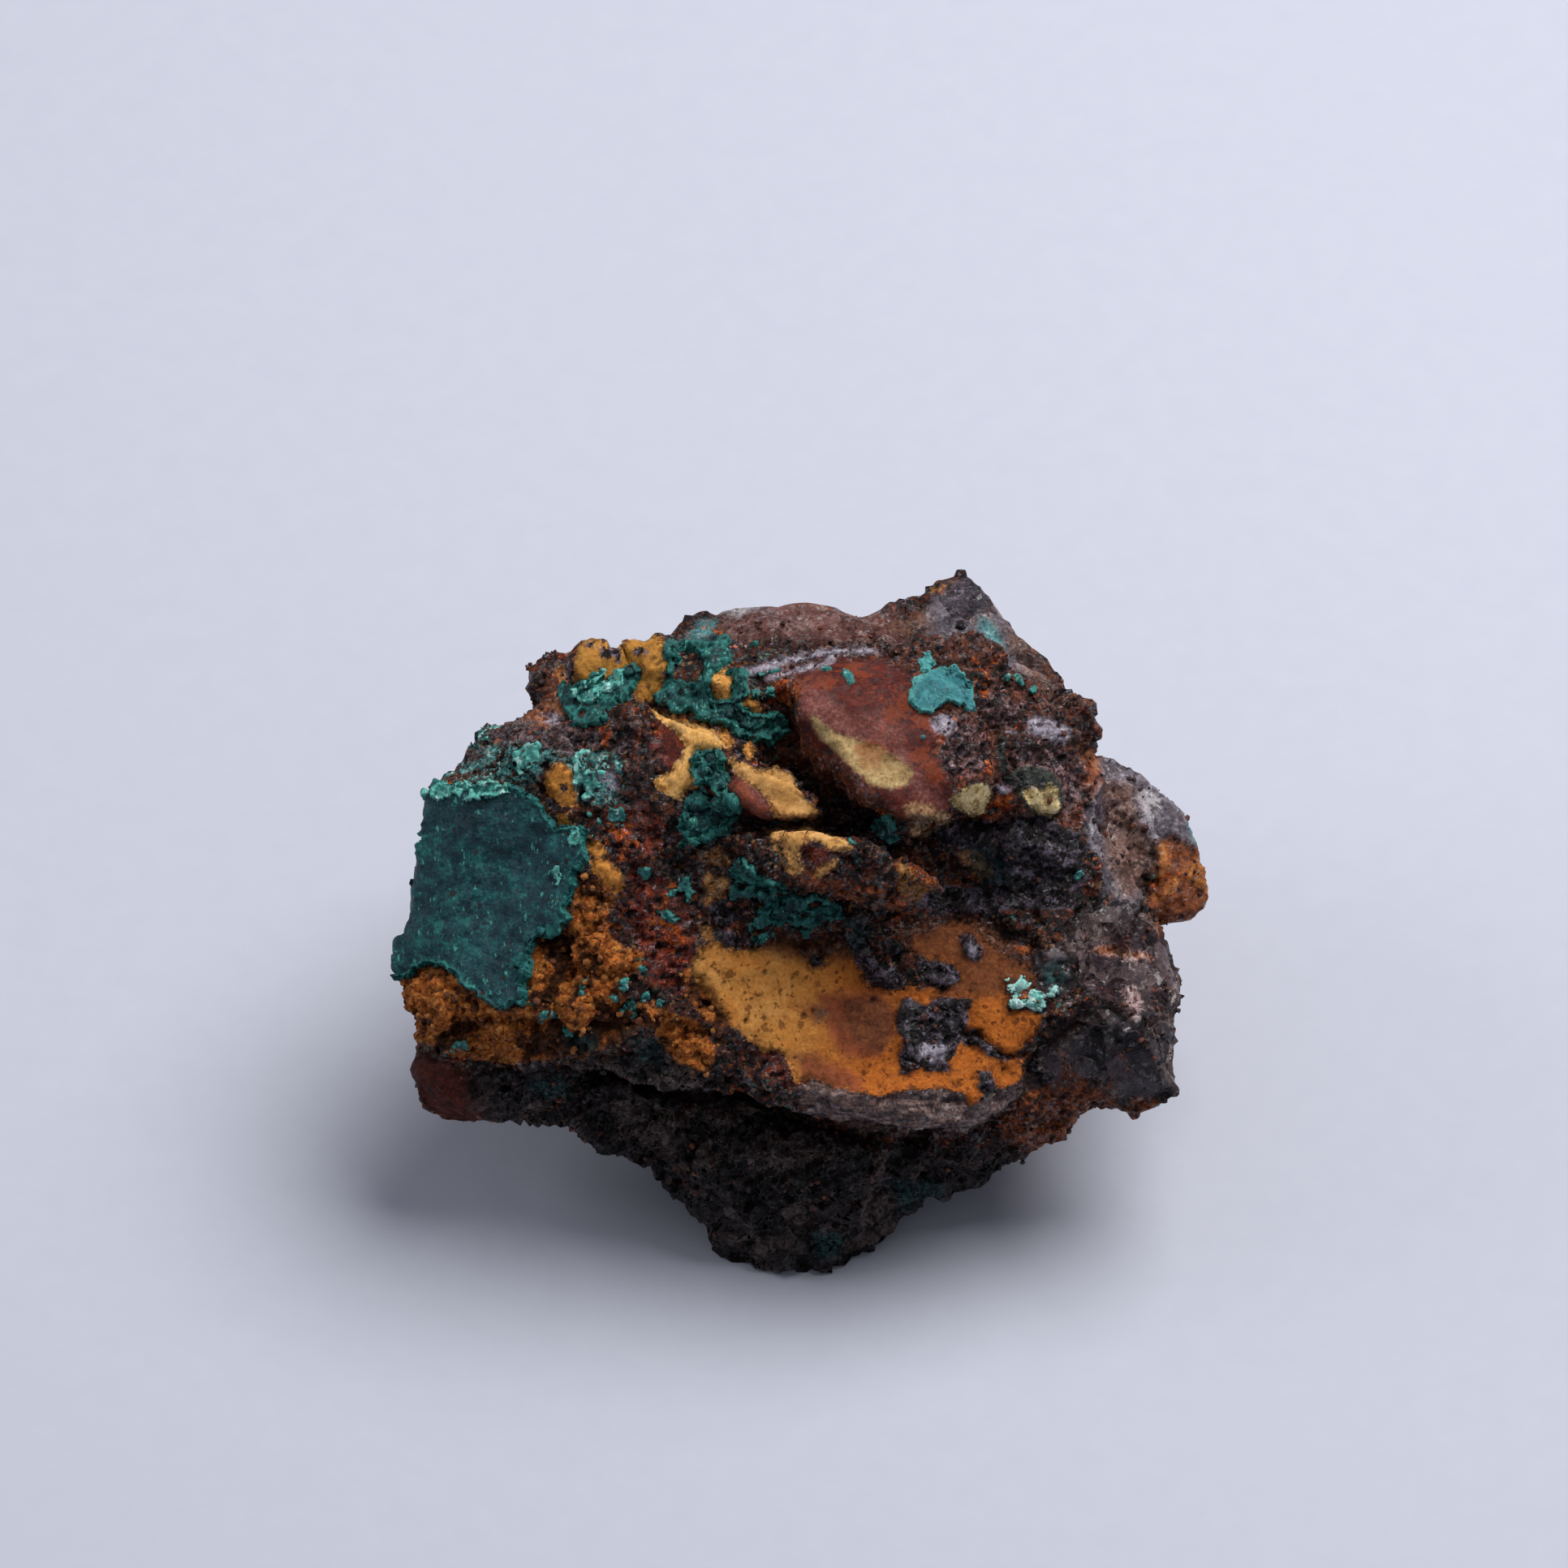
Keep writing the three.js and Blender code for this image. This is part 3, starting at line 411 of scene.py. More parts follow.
# Faces of the grey block that are painted lighter, as painted light.
SLATE_PAINTED_LIGHT = traces("""
    1402,1246 1420,1242 1452,1262 1464,1300 1466,1328 1450,1345 1430,1318 1412,1285;
    1350,1112 1372,1110 1385,1125 1368,1140 1350,1132
""")
PINK_CRYSTALS = traces("""
    1378,1216 1398,1212 1410,1235 1400,1256 1384,1248;
    1345,1165 1370,1160 1410,1172 1420,1182 1385,1182 1355,1176
""")
MAROON = traces("""
    800,1062 828,1100 858,1150 860,1178 850,1200 840,1222 812,1214 795,1190 780,1150 772,1095 782,1065;
    938,1302 950,1292 975,1302 984,1342 966,1336 946,1320;
    986,1042 1004,1038 1022,1046 1026,1056 1010,1068 994,1066 985,1054;
    802,885 818,896 834,905 838,928 826,946 812,940 802,920;
    745,1000 790,990 820,1010 810,1050 780,1060 755,1040
""")
LENS = traces("""
    1244,955 1262,943 1290,946 1306,963 1313,990 1298,1010 1278,1012 1262,992 1249,974;
    1228,905 1240,908 1240,940 1250,968 1236,962 1230,935
""")
EMBER = traces("""
    1200,812 1220,820 1222,855 1204,850 1196,830;
    1135,885 1160,900 1150,930 1132,915;
    1212,936 1228,938 1226,955 1210,952;
    1214,985 1245,982 1248,1000 1222,1012 1208,1005;
    1338,925 1356,925 1362,975 1350,1000 1336,965;
    1262,800 1290,812 1300,840 1280,838 1264,822;
    740,1015 770,1010 790,1040 770,1060 745,1040;
    800,1100 830,1120 850,1160 835,1185 810,1170 796,1130;
    940,835 965,828 990,838 992,862 972,870 948,858;
    1370,1050 1390,1060 1392,1100 1376,1112 1364,1080
""")
RUST = traces("""
    1230,1360 1290,1338 1340,1338 1380,1352 1440,1358 1395,1388 1340,1380 1310,1410 1262,1420 1230,1400;
    632,884 660,868 690,858 694,878 688,895 665,890 645,893;
    940,832 985,822 990,862 955,866;
    1310,1300 1330,1326 1352,1340 1330,1345 1306,1330;
    1205,1010 1222,1040 1215,1075 1200,1080 1190,1055 1195,1030;
    960,1062 1010,1080 1050,1092 1100,1100 1060,1110 1000,1095;
    548,956 572,948 600,956 626,956 628,966 590,962 560,964;
    1100,1052 1130,1050 1158,1092 1160,1112 1120,1128 1090,1118 1104,1090
""")
BLUSH = traces("""
    984,850 996,838 1014,850 1036,872 1070,900 1110,925 1140,955 1168,985 1160,1002 1128,985 1112,958
    1080,925 1040,905 1004,890 990,880;
    1062,876 1090,888 1118,900 1110,915 1080,902;
    905,952 925,958 945,985 950,1005 925,1004 906,985
""")
SHADE = traces("""
    1108,1150 1160,1138 1200,1128 1250,1166 1288,1200 1270,1214 1240,1226 1200,1230 1150,1224 1184,1205
    1170,1185 1120,1172;
    930,1160 975,1150 1042,1160 1050,1185 1000,1186 950,1178;
    1040,1232 1080,1224 1102,1240 1104,1280 1080,1300 1050,1285 1036,1258
""")
DEEP_TEAL = traces("""
    650,1334 690,1328 704,1345 672,1354;
    690,1276 730,1270 742,1290 708,1298;
    768,1270 815,1282 818,1312 784,1306;
    1098,1456 1160,1452 1162,1486 1110,1490;
    1000,1520 1040,1520 1040,1550 1006,1552;
    1282,1190 1305,1182 1312,1205 1296,1220 1284,1210;
    1190,1040 1230,1050 1250,1080 1220,1090 1196,1070;
    1040,1140 1062,1128 1074,1150 1056,1168 1042,1160;
    1370,1352 1392,1350 1394,1366 1376,1368;
    1005,1240 1018,1250 1004,1262
""")
# The underside: its dark tint is partly the rock's own dark colour and partly painted shade.
UNDER = traces("""
    585,1318 640,1322 720,1308 800,1302 880,1328 950,1370 1010,1394 1100,1414 1190,1414 1240,1400
    1262,1425 1200,1490 1140,1620 840,1620 640,1440 600,1395 570,1350
""")
BACK_ORANGE = traces("""
    1425,1040 1445,1032 1480,1048 1498,1080 1492,1125 1462,1148 1430,1152 1416,1110 1428,1070;
    686,822 700,830 698,858 680,872 664,862 672,838;
    1336,925 1352,925 1358,960 1345,985 1334,960
""")
BACK_WHITE = traces("""
    1402,982 1415,972 1430,986 1426,1002 1410,1004;
    885,752 902,740 926,738 932,750 908,760
""")
BACK_GREY = traces("""
    1345,930 1420,920 1475,990 1500,1050 1480,1050 1445,1030 1420,1040 1415,1070 1400,1120 1360,1110
    1338,1040;
    1120,790 1140,745 1180,715 1215,700 1240,760 1290,840 1240,822 1205,790 1160,800
""")
BACK_BROWN = traces("""
    1358,960 1395,965 1402,1010 1420,1040 1412,1090 1385,1110 1362,1060;
    1250,760 1300,830 1290,850 1262,830 1240,790;
    1100,770 1140,745 1150,775 1120,792
""")
BACK_TEAL = traces("""
    1204,752 1222,768 1240,795 1240,818 1224,802 1206,775;
    1468,1006 1480,1020 1486,1052 1474,1044 1464,1018;
    848,788 862,764 884,764 880,782
""")
BACK_MAUVE = traces("""
    888,762 930,735 1010,718 1070,742 1112,748 1122,792 1000,792 900,790;
    1436,930 1400,1005 1420,1040 1400,1060 1372,1020
""")

# Patches of colour: name, outlines, softness of the edge in millimetres, strength, share of single grains in
# the shading, and colours from dark to light. A negative share is one of flat broken faces instead of grains.
TINTS_BELOW = [
    ("block", BLOCK, 0.5, 0.6, 0.6, "1a0a09", "542419", "8c5440"),
    ("grey", GREY, 0.25, 0.9, -0.7, "1a1416", "3e3234", "705e5e"),
    ("mauve", MAUVE_ROUGH, 0.4, 0.9, -0.7, "1a1012", "46343a", "82706e"),
    # Faces of the grey block: painted shade on those turned from the light, painted light on those turned to
    # it.
    ("slate_painted_shade", SLATE_PAINTED_SHADE, 0.2, 0.95, -0.7, "1a181a", "383236", "5c5458"),
    ("slate_painted_light", SLATE_PAINTED_LIGHT, 0.2, 0.9, -0.6, "322a2c", "54484a", "80726e"),
    ("pink_crystals", PINK_CRYSTALS, 0.2, 0.8, 0.5, "4a3030", "9a7674", "d0b8b8"),
    ("maroon", MAROON, 0.35, 0.8, 0.35, "1a0605", "681c10", "b4502c"),
    ("hide", HIDE, 0.9, 1.0, 0.0, "260d08", "4c1c12", "703624"),
    ("rust", RUST, 0.3, 0.85, 0.3, "220e08", "6e2e10", "c0661e"),
    ("glinty", GLINTY, 0.4, 0.45, 0.5, "140a0a", "44282a", "b0a0ac"),
    ("back_mauve", BACK_MAUVE, 0.5, 0.9, -0.4, "341a18", "6a423c", "a4827c"),
    ("back_grey", BACK_GREY, 0.4, 0.85, -0.4, "38323a", "6c646e", "a8a2ae"),
    ("back_brown", BACK_BROWN, 0.5, 0.8, -0.4, "3a221c", "74503f", "a88878"),
    ("back_orange", BACK_ORANGE, 0.35, 0.9, -0.5, "461c0c", "8e4a20", "c4803e"),
    ("back_white", BACK_WHITE, 0.3, 0.9, 0.1, "8a8080", "c0b8bc", "e0dce0"),
    ("back_teal", BACK_TEAL, 0.25, 0.9, 0.1, "2a5258", "4c8488", "80b4b0"),
    # The underside's tint: partly dark rock, partly painted shade.
    ("under", UNDER, 0.5, 0.75, -0.6, "120e10", "342a2c", "6c5c56"),
    # Flank: partly the rock's red-brown, partly painted light against the overhang's shade.
    ("flank", FLANK, 0.35, 0.9, 0.2, "1e0a07", "5a2614", "9a5830"),
    ("film", FILM, 0.35, 1.0, 0.1, "1a0605", "4c140b", "782a18"),
    ("blush", BLUSH, 0.5, 0.5, 0.05, "542420", "844a42", "b08880"),
    ("lens", LENS, 0.08, 0.9, 0.1, "101818", "2a3632", "5c685a"),
    ("cream", CREAM, 0.2, 1.0, 0.1, "6c5230", "a88c5e", "c4ae7e"),
    ("cream_low", CREAM_LOW, 0.12, 1.0, 0.5, "8c764a", "d0b880", "e6d2a4"),
    ("block_foot", BLOCK_FOOT, 0.2, 0.8, 0.3, "4e301c", "9a7650", "ccac84"),
]
TAN_TINTS = [
    ("shade", SHADE, 0.5, 0.85, 0.1, "2e180e", "623620", "88542e"),
    ("ochre_dull", OCHRE[:2], 0.1, 0.75, 0.1, "70421a", "a8742c", "c08c40"),
    ("ochre_red", OCHRE[2:6], 0.1, 0.8, 0.1, "8a4a18", "cc8434", "e0a050"),
    ("ochre_pale", OCHRE[6:7], 0.1, 0.6, 0.1, "a86e2e", "e8b468", "f8cc90"),
    ("crumbly", CRUMBLY, 0.15, 0.9, 0.3, "44240e", "94602c", "cc9a58"),
    ("tan", TAN, 0.12, 1.0, 0.0, "ac783e", "cc9654", "deb278"),
]
TINTS_ABOVE = [
    ("salmon", SALMON, 0.25, 0.8, 0.3, "7a3c20", "b8744c", "dcae94"),
    # Dark: partly dark rock, partly painted shade in the cavity under the red block and under the ledge.
    ("dark", DARK, 0.1, 1.0, 0.5, "070607", "1c1417", "74687a"),
    # Pale: partly pale crystals, partly painted highlight.
    ("pale", PALE, 0.2, 0.85, 0.25, "5a4e5a", "a098a8", "d8d6e4"),
    ("deep_teal", DEEP_TEAL, 0.4, 0.65, 0.2, "08242a", "144244", "2c6e6a"),
]

# Grooves and ridges: a line in the view, its half width and its height in millimetres (grooves are negative).
STROKES = [
    ("905,1003 940,1010 980,1014 1010,1013 1050,1018 1078,1012", 0.35, -0.9),
    ("945,938 975,950 1002,964 1030,982 1060,1000 1088,1012", 0.5, -1.0),
    ("1140,1014 1180,1012 1230,1016 1290,1012", 0.5, -0.9),
    ("1240,935 1262,975 1280,1004 1302,1008", 0.14, -0.45),
    ("1186,1276 1204,1275 1218,1288 1235,1300 1252,1304", 0.2, -0.55),
    ("960,1156 985,1166 1010,1160 1040,1150 1080,1146 1120,1130 1160,1124 1200,1130 1235,1150 "
     "1270,1165", 0.55, -0.8),
    ("880,1332 940,1350 990,1378 1050,1396 1110,1408 1180,1408 1230,1392 1270,1352 1292,1300 "
     "1335,1252", 0.5, -0.9),
    ("560,1262 620,1256 660,1262 700,1262 760,1270 790,1262", 0.35, -0.5),
    ("668,1148 690,1160 706,1190 730,1205 770,1200", 0.3, -0.5),
    ("760,1100 775,1130 790,1160 840,1175 858,1200 880,1250", 0.4, -0.4),
    ("800,860 830,882 862,890 890,900 905,925 935,938", 0.3, -0.7),
    ("925,835 950,850 972,880 985,905", 0.3, -0.5),
    ("690,985 672,975 664,955 676,938 700,936 714,960 712,990", 0.18, -0.35),
    ("1330,1120 1345,1170 1325,1215 1300,1245", 0.35, -0.4),
    ("1405,1130 1425,1180 1405,1235", 0.3, -0.35),
    ("984,860 994,900 1024,932 1070,966 1112,994 1160,1008", 0.75, 0.9),
    ("912,975 940,996 965,1006 1000,1008", 0.45, 0.6),
    ("712,830 728,804 752,800 772,802", 0.9, 0.8),
    ("778,798 796,788 815,796 812,826", 0.9, 1.1),
    ("955,1028 1000,1036 1050,1044 1100,1065 1148,1095", 0.5, 0.4),
    ("985,1338 1040,1352 1110,1350 1165,1345 1215,1350 1260,1325", 0.35, 0.35),
    ("1240,905 1236,940 1252,968", 0.18, 0.3),
    ("500,1350 510,1378 545,1390", 0.8, -0.9),
    ("532,1325 562,1348 618,1352", 1.6, 0.6),
    ("706,1384 745,1400", 1.0, 0.8),
    ("1362,1292 1400,1318 1458,1348", 0.5, 0.45),
    ("1410,1250 1385,1268 1362,1292", 0.45, 0.4),
    ("920,835 985,815 1050,803 1110,806", 0.3, 0.3),
]


FAR = 1e9


def from_line(view, ax, ay, bx, by):
    """How far points lie from the straight line between two corners, in pixels."""
    ex, ey = bx - ax, by - ay
    t = np.clip(((view[:, 0] - ax) * ex + (view[:, 1] - ay) * ey) / (ex * ex + ey * ey), 0, 1)
    return np.hypot(view[:, 0] - ax - t * ex, view[:, 1] - ay - t * ey)


def by_strokes(points, view):
    """How far the strokes lift each point, in millimetres."""
    view = ragged(points, view)
    lift = np.zeros(len(view))
    for text, width, height in STROKES:
        line = pairs(text)
        near = np.full(len(view), FAR)
        for (ax, ay), (bx, by) in zip(line[:-1], line[1:]):
            near = np.minimum(near, from_line(view, ax, ay, bx, by))
        lift += height * np.exp(-((near / PX_PER_MM / width) ** 2))
    return lift


def inside_by(view, outlines):
    """How far inside the outlines each point lies, in millimetres; outside is negative."""
    best = np.full(len(view), -FAR)
    for outline in outlines:
        corners = np.array(outline, dtype=float)
        following = np.roll(corners, -1, axis=0)
        near = np.full(len(view), FAR)
        inside = np.zeros(len(view), dtype=bool)
        for (ax, ay), (bx, by) in zip(corners, following):
            near = np.minimum(near, from_line(view, ax, ay, bx, by))
            if ay != by:
                crosses = (ay > view[:, 1]) != (by > view[:, 1])
                inside ^= crosses & (view[:, 0] < ax + (view[:, 1] - ay) * (bx - ax) / (by - ay))
        best = np.maximum(best, np.where(inside, near, -near))
    return best / PX_PER_MM


def ragged(points, view):
    """The view coordinates shaken by noise, so that outlines get uneven, crumbly edges."""
    shake = [
        0.13 * perlin(points, 1.7, seed) + 0.13 * perlin(points, 0.7, seed + 5)
        + 0.1 * perlin(points, 0.3, seed + 9)
        for seed in (31, 47)
    ]
    return view + PX_PER_MM * np.stack(shake, axis=1)


def seen(points, normals):
    """1 on the broad face and on what shows round it, 0 behind."""
    w = to_face(points)[2]
    return smooth(-0.25, 0.1, normals @ OUT) * smooth(-14, -10, w)


# ---- Meshes ----
def object_from(name, points, faces, material):
    """An object with smooth shading from points in millimetres."""
    mesh = bpy.data.meshes.new(name)
    mesh.from_pydata((points * MM).tolist(), [], faces)
    mesh.validate()
    mesh.update()
    obj = bpy.data.objects.new(name, mesh)
    bpy.context.scene.collection.objects.link(obj)
    mesh.materials.append(material)
    mesh.shade_smooth()
    return obj


def read(data, key, width):
    """What every element of a mesh's data holds, as one row each."""
    flat = np.empty(len(data) * width, dtype=np.float32)
    data.foreach_get(key, flat)
    return flat.astype(float).reshape(-1, width)


def points_of(mesh):
    return read(mesh.vertices, "co", 3)


def normals_of(mesh):
    return read(mesh.vertex_normals, "vector", 3)


def attribute(obj, name):
    return read(obj.data.attributes[name].data, "value", 1)[:, 0]


def move_to(mesh, points):
    mesh.vertices.foreach_set("co", points.ravel())
    mesh.update()


def keep(mesh, name, values):
    """Puts one number on every point, where the material finds it by name."""
    data = mesh.attributes.new(name, "FLOAT", "POINT").data
    data.foreach_set("value", np.asarray(values, dtype=np.float32))


def remeshed(node, voxel):
    """A node's surface as an even mesh, in millimetres."""
    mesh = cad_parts[node].data.copy()
    mesh.transform(Matrix.Scale(1000, 4))
    obj = bpy.data.objects.new("draft", mesh)
    bpy.context.scene.collection.objects.link(obj)
    change = obj.modifiers.new("even", "REMESH")
    change.mode = "VOXEL"
    change.voxel_size = voxel
    made = bpy.data.meshes.new_from_object(obj.evaluated_get(bpy.context.evaluated_depsgraph_get()))
    bpy.data.objects.remove(obj)
    bpy.data.meshes.remove(mesh)
    return made


def refined(mesh, chosen):
    """Splits the edges whose two ends are chosen."""
    work = bmesh.new()
    work.from_mesh(mesh)
    work.verts.ensure_lookup_table()
    edges = [e for e in work.edges if chosen[e.verts[0].index] and chosen[e.verts[1].index]]
    bmesh.ops.subdivide_edges(work, edges=edges, cuts=1, use_grid_fill=True)
    bmesh.ops.triangulate(work, faces=[f for f in work.faces if len(f.verts) > 4])
    work.to_mesh(mesh)
    work.free()
    return mesh


# ---- The rock ----
GRAIN = 0.44
# How far from its outline a region's depth is followed, in millimetres.
REACH = 3.0
REGIONS = {
    "basin": BASIN,
    "ochre": OCHRE,
    "clods": CLODS,
    "stain": STAIN,
    "ember": EMBER,
    "teal_grit": TEAL_GRIT,
    "lip": LIP,
}
REGIONS.update({tint[0]: tint[1] for tint in TINTS_BELOW + TAN_TINTS + TINTS_ABOVE})
CRUST_BEDS = PLATE + PATCH + CREST + SADDLE
# Where no ember grains glow and where no lilac glints lie: region, softness in millimetres, strength.
MASKS = {
    "cool": [
        ("film", 0.2, 1.0), ("cream", 0.1, 1.0), ("cream_low", 0.1, 1.0), ("lens", 0.1, 1.0),
        ("hide", 0.3, 1.0), ("under", 0.5, 0.85), ("grey", 0.3, 0.6), ("back_mauve", 0.4, 0.7),
        ("back_grey", 0.5, 1.0), ("back_brown", 0.5, 1.0),
    ],
    "sober": [
        ("film", 0.4, 1.0), ("hide", 0.3, 1.0), ("under", 0.5, 1.0), ("grey", 0.3, 0.85),
        ("back_mauve", 0.4, 1.0),
    ],
}
# Where the relief is held back: how much, the depths in millimetres over which it sets in, the regions.
CALM = [
    (0.93, -0.3, 0.5, "basin"),
    (0.75, -0.3, 0.3, "ochre"),
    (0.93, -0.3, 0.3, "tan ochre_pale"),
    (0.85, -0.3, 0.3, "cream lens cream_low"),
    (0.85, -0.4, 0.5, "film"),
    (0.7, -0.2, 0.5, "lip"),
    (0.9, -0.2, 0.5, "grey"),
    (0.7, -0.2, 0.4, "hide"),
    (0.6, -0.3, 0.5, "back_grey back_mauve back_brown"),
    (0.5, -0.2, 0.4, "back_orange"),
]


def region_depths(points, normals):
    """How far inside each region every point lies; those behind reach further round the rock."""
    view = ragged(points, to_view(points)[0])
    shown = seen(points, normals) > SHOWN
    back = (normals @ OUT > -0.45) & (to_face(points)[2] < BACK_START)
    found = {}
    for name, outlines in REGIONS.items():
        reached = back if name.startswith("back_") else shown
        depth = np.full(len(points), -REACH)
        depth[reached] = np.clip(inside_by(view[reached], outlines), -REACH, REACH)
        found[name] = depth
    found["tan"] = np.minimum(found["tan"], -inside_by(view, TAN_HOLES))
    found["basin"] = np.minimum(found["basin"], -found["dark"])
    return found


def relax(work, rounds):
    """Moves every corner towards the middle of its neighbours."""
    for _ in range(rounds):
        bmesh.ops.smooth_vert(work, verts=work.verts[:], factor=0.5, use_axis_x=True, use_axis_y=True,
                              use_axis_z=True)


def evened(mesh, rounds):
    """Rounds off the steps that remeshing leaves along thin ridges."""
    work = bmesh.new()
    work.from_mesh(mesh)
    relax(work, rounds)
    work.to_mesh(mesh)
    work.free()
    return mesh


def held_back(found, bed):
    """How much each point's relief is held back, from 0 to 1."""
    calm = [0.85 * smooth(-0.6, 0.1, bed)]
    for share, low, high, names in CALM:
        depth = np.maximum.reduce([found[name] for name in names.split()])
        calm.append(share * smooth(low, high, depth))
    return np.maximum.reduce(calm)


def coarse_relief(points, view, shown, found, rough, clods):
    """Knuckles, creases, broken faces and clods, and where painted shade goes between the clods."""
    lift = 0.75 * rough * creases(points, 3.2, 4, 11)
    lift += 0.12 * fractal(points, 3.0, 2, 12)
    lift += 0.42 * rough * (1 - 0.2 * clods) * facets(points, 1.5, 21)
    # Clods are crumbly lumps; the grey block is broken in flat faces; the lip is layered.
    first, _, number, _ = cells(points + 0.5 * perlin(points, 1.1, 22)[:, None], 2.1, 23)
    lift += clods * (0.8 * np.sqrt(np.clip(1 - (first / 0.88) ** 4, 0, 1)) * (0.3 + 0.8 * number) - 0.35)
    lift += 0.3 * clods * facets(points, 1.0, 25)
    gaps = clods * smooth(0.55, 0.8, first + 0.15 * perlin(points, 0.6, 24))
    lift += smooth(-0.2, 0.6, found["grey"]) * (1.3 * facets(points, 3.6, 27) + 0.5 * facets(points, 1.6, 26))
    lift += 0.3 * smooth(-0.1, 0.15, found["lens"]) - 0.12 * smooth(0.0, 0.2, found["cream"])
    bed = 0.16 * creases(points, 2.6, 3, 35) + 0.08 * facets(points, 1.3, 36)
    lift += smooth(0.0, 0.6, found["basin"]) * bed
    lift += 0.45 * (1 - shown) * facets(points, 3.8, 29)
    lift += 0.7 * smooth(-0.2, 0.4, found["under"]) * facets(points, 2.6, 28)
    layers = np.sin(to_face(points)[2] * 9 + 2.2 * perlin(points, 2.5, 33))
    lift += 0.1 * smooth(-0.1, 0.3, found["lip"]) * layers
    lift += 0.45 * smooth(-0.05, 0.35, found["dark"]) * smooth(-0.3, 0.3, found["basin"] + 1.2)
    ochre = smooth(0.0, 0.4, found["ochre"])
    lift += ochre * (0.16 + 0.28 * facets(points, 1.7, 37) + 0.15 * facets(points, 0.8, 38))
    return lift + shown * by_strokes(points, view), gaps


def fine_relief(points, found, rough, clods):
    """Grains, and the pits in the ochre."""
    fine = rough * 0.34 * creases(points, 1.0, 3, 41, 0.7)
    fine += rough * 0.26 * facets(points, 0.55, 43)
    fine += 0.06 * fractal(points, 0.8, 2, 45) * (0.3 + 0.7 * rough)
    first, _, number, _ = cells(points, 0.75, 47)
    fine += clods * (0.1 * (0.55 - first) * (0.3 + 1.4 * number) + 0.16 * facets(points, 0.42, 49))
    pit = smooth(0.34, 0.14, first) * (number > 0.84)
    return fine - 0.2 * pit * smooth(0.0, 0.3, np.maximum(found["basin"], found["ochre"]))


def build_rock(material):
    """The rock with its relief, and on each point what the material needs to know about its place."""
    mesh = evened(remeshed("matrix", GRAIN), 3)
    points, normals = points_of(mesh), normals_of(mesh)
    finer = (normals @ OUT > -0.2) & (to_face(points)[2] > -13) & (points[:, 2] > 5)
    covered = inside_by(to_view(points)[0], PLATE) > 1.0
    mesh = refined(mesh, finer & ~covered)
    points, normals = points_of(mesh), normals_of(mesh)
    view = to_view(points)[0]
    shown = seen(points, normals)
    found = region_depths(points, normals)
    bed = np.where(shown > SHOWN, inside_by(view, CRUST_BEDS), -REACH)
    rough = (1 - held_back(found, bed)) * (0.6 + 0.4 * shown)
    clods = smooth(-0.5, 0.5, found["clods"])
    lift, gaps = coarse_relief(points, view, shown, found, rough, clods)
    points = points + normals * lift[:, None]
    move_to(mesh, points)
    fine = fine_relief(points, found, rough, clods)
    points = points + normals_of(mesh) * fine[:, None]
    points[:, 2] = np.maximum(points[:, 2], 0.0)
    obj = object_from("rock", points, [tuple(p.vertices) for p in mesh.polygons], material)
    normals = normals_of(obj.data)
    found = region_depths(points, normals)
    # Near the floor the material turns near black: partly the rock's dark colour, partly painted shade.
    low = smooth(9, 4, points[:, 2])
    for name, terms in MASKS.items():
        mask = [share * smooth(-soft, soft, found[region]) for region, soft, share in terms]
        keep(obj.data, name, np.maximum.reduce(mask + [0.85 * low]))
    # Painted shade goes where the fine relief sinks, and between the clods.
    found.update(shown=seen(points, normals), hollow=0.5 - fine * 2.2, low=low, gaps=gaps)
    for name, values in found.items():
        keep(obj.data, name, values)
    return obj


# ---- Crusts grown on the rock's own surface ----
# How far a crust's edge dips into the rock, and how thick its skin is, in millimetres.
EDGE_DIP = 0.25
SKIN = 0.35


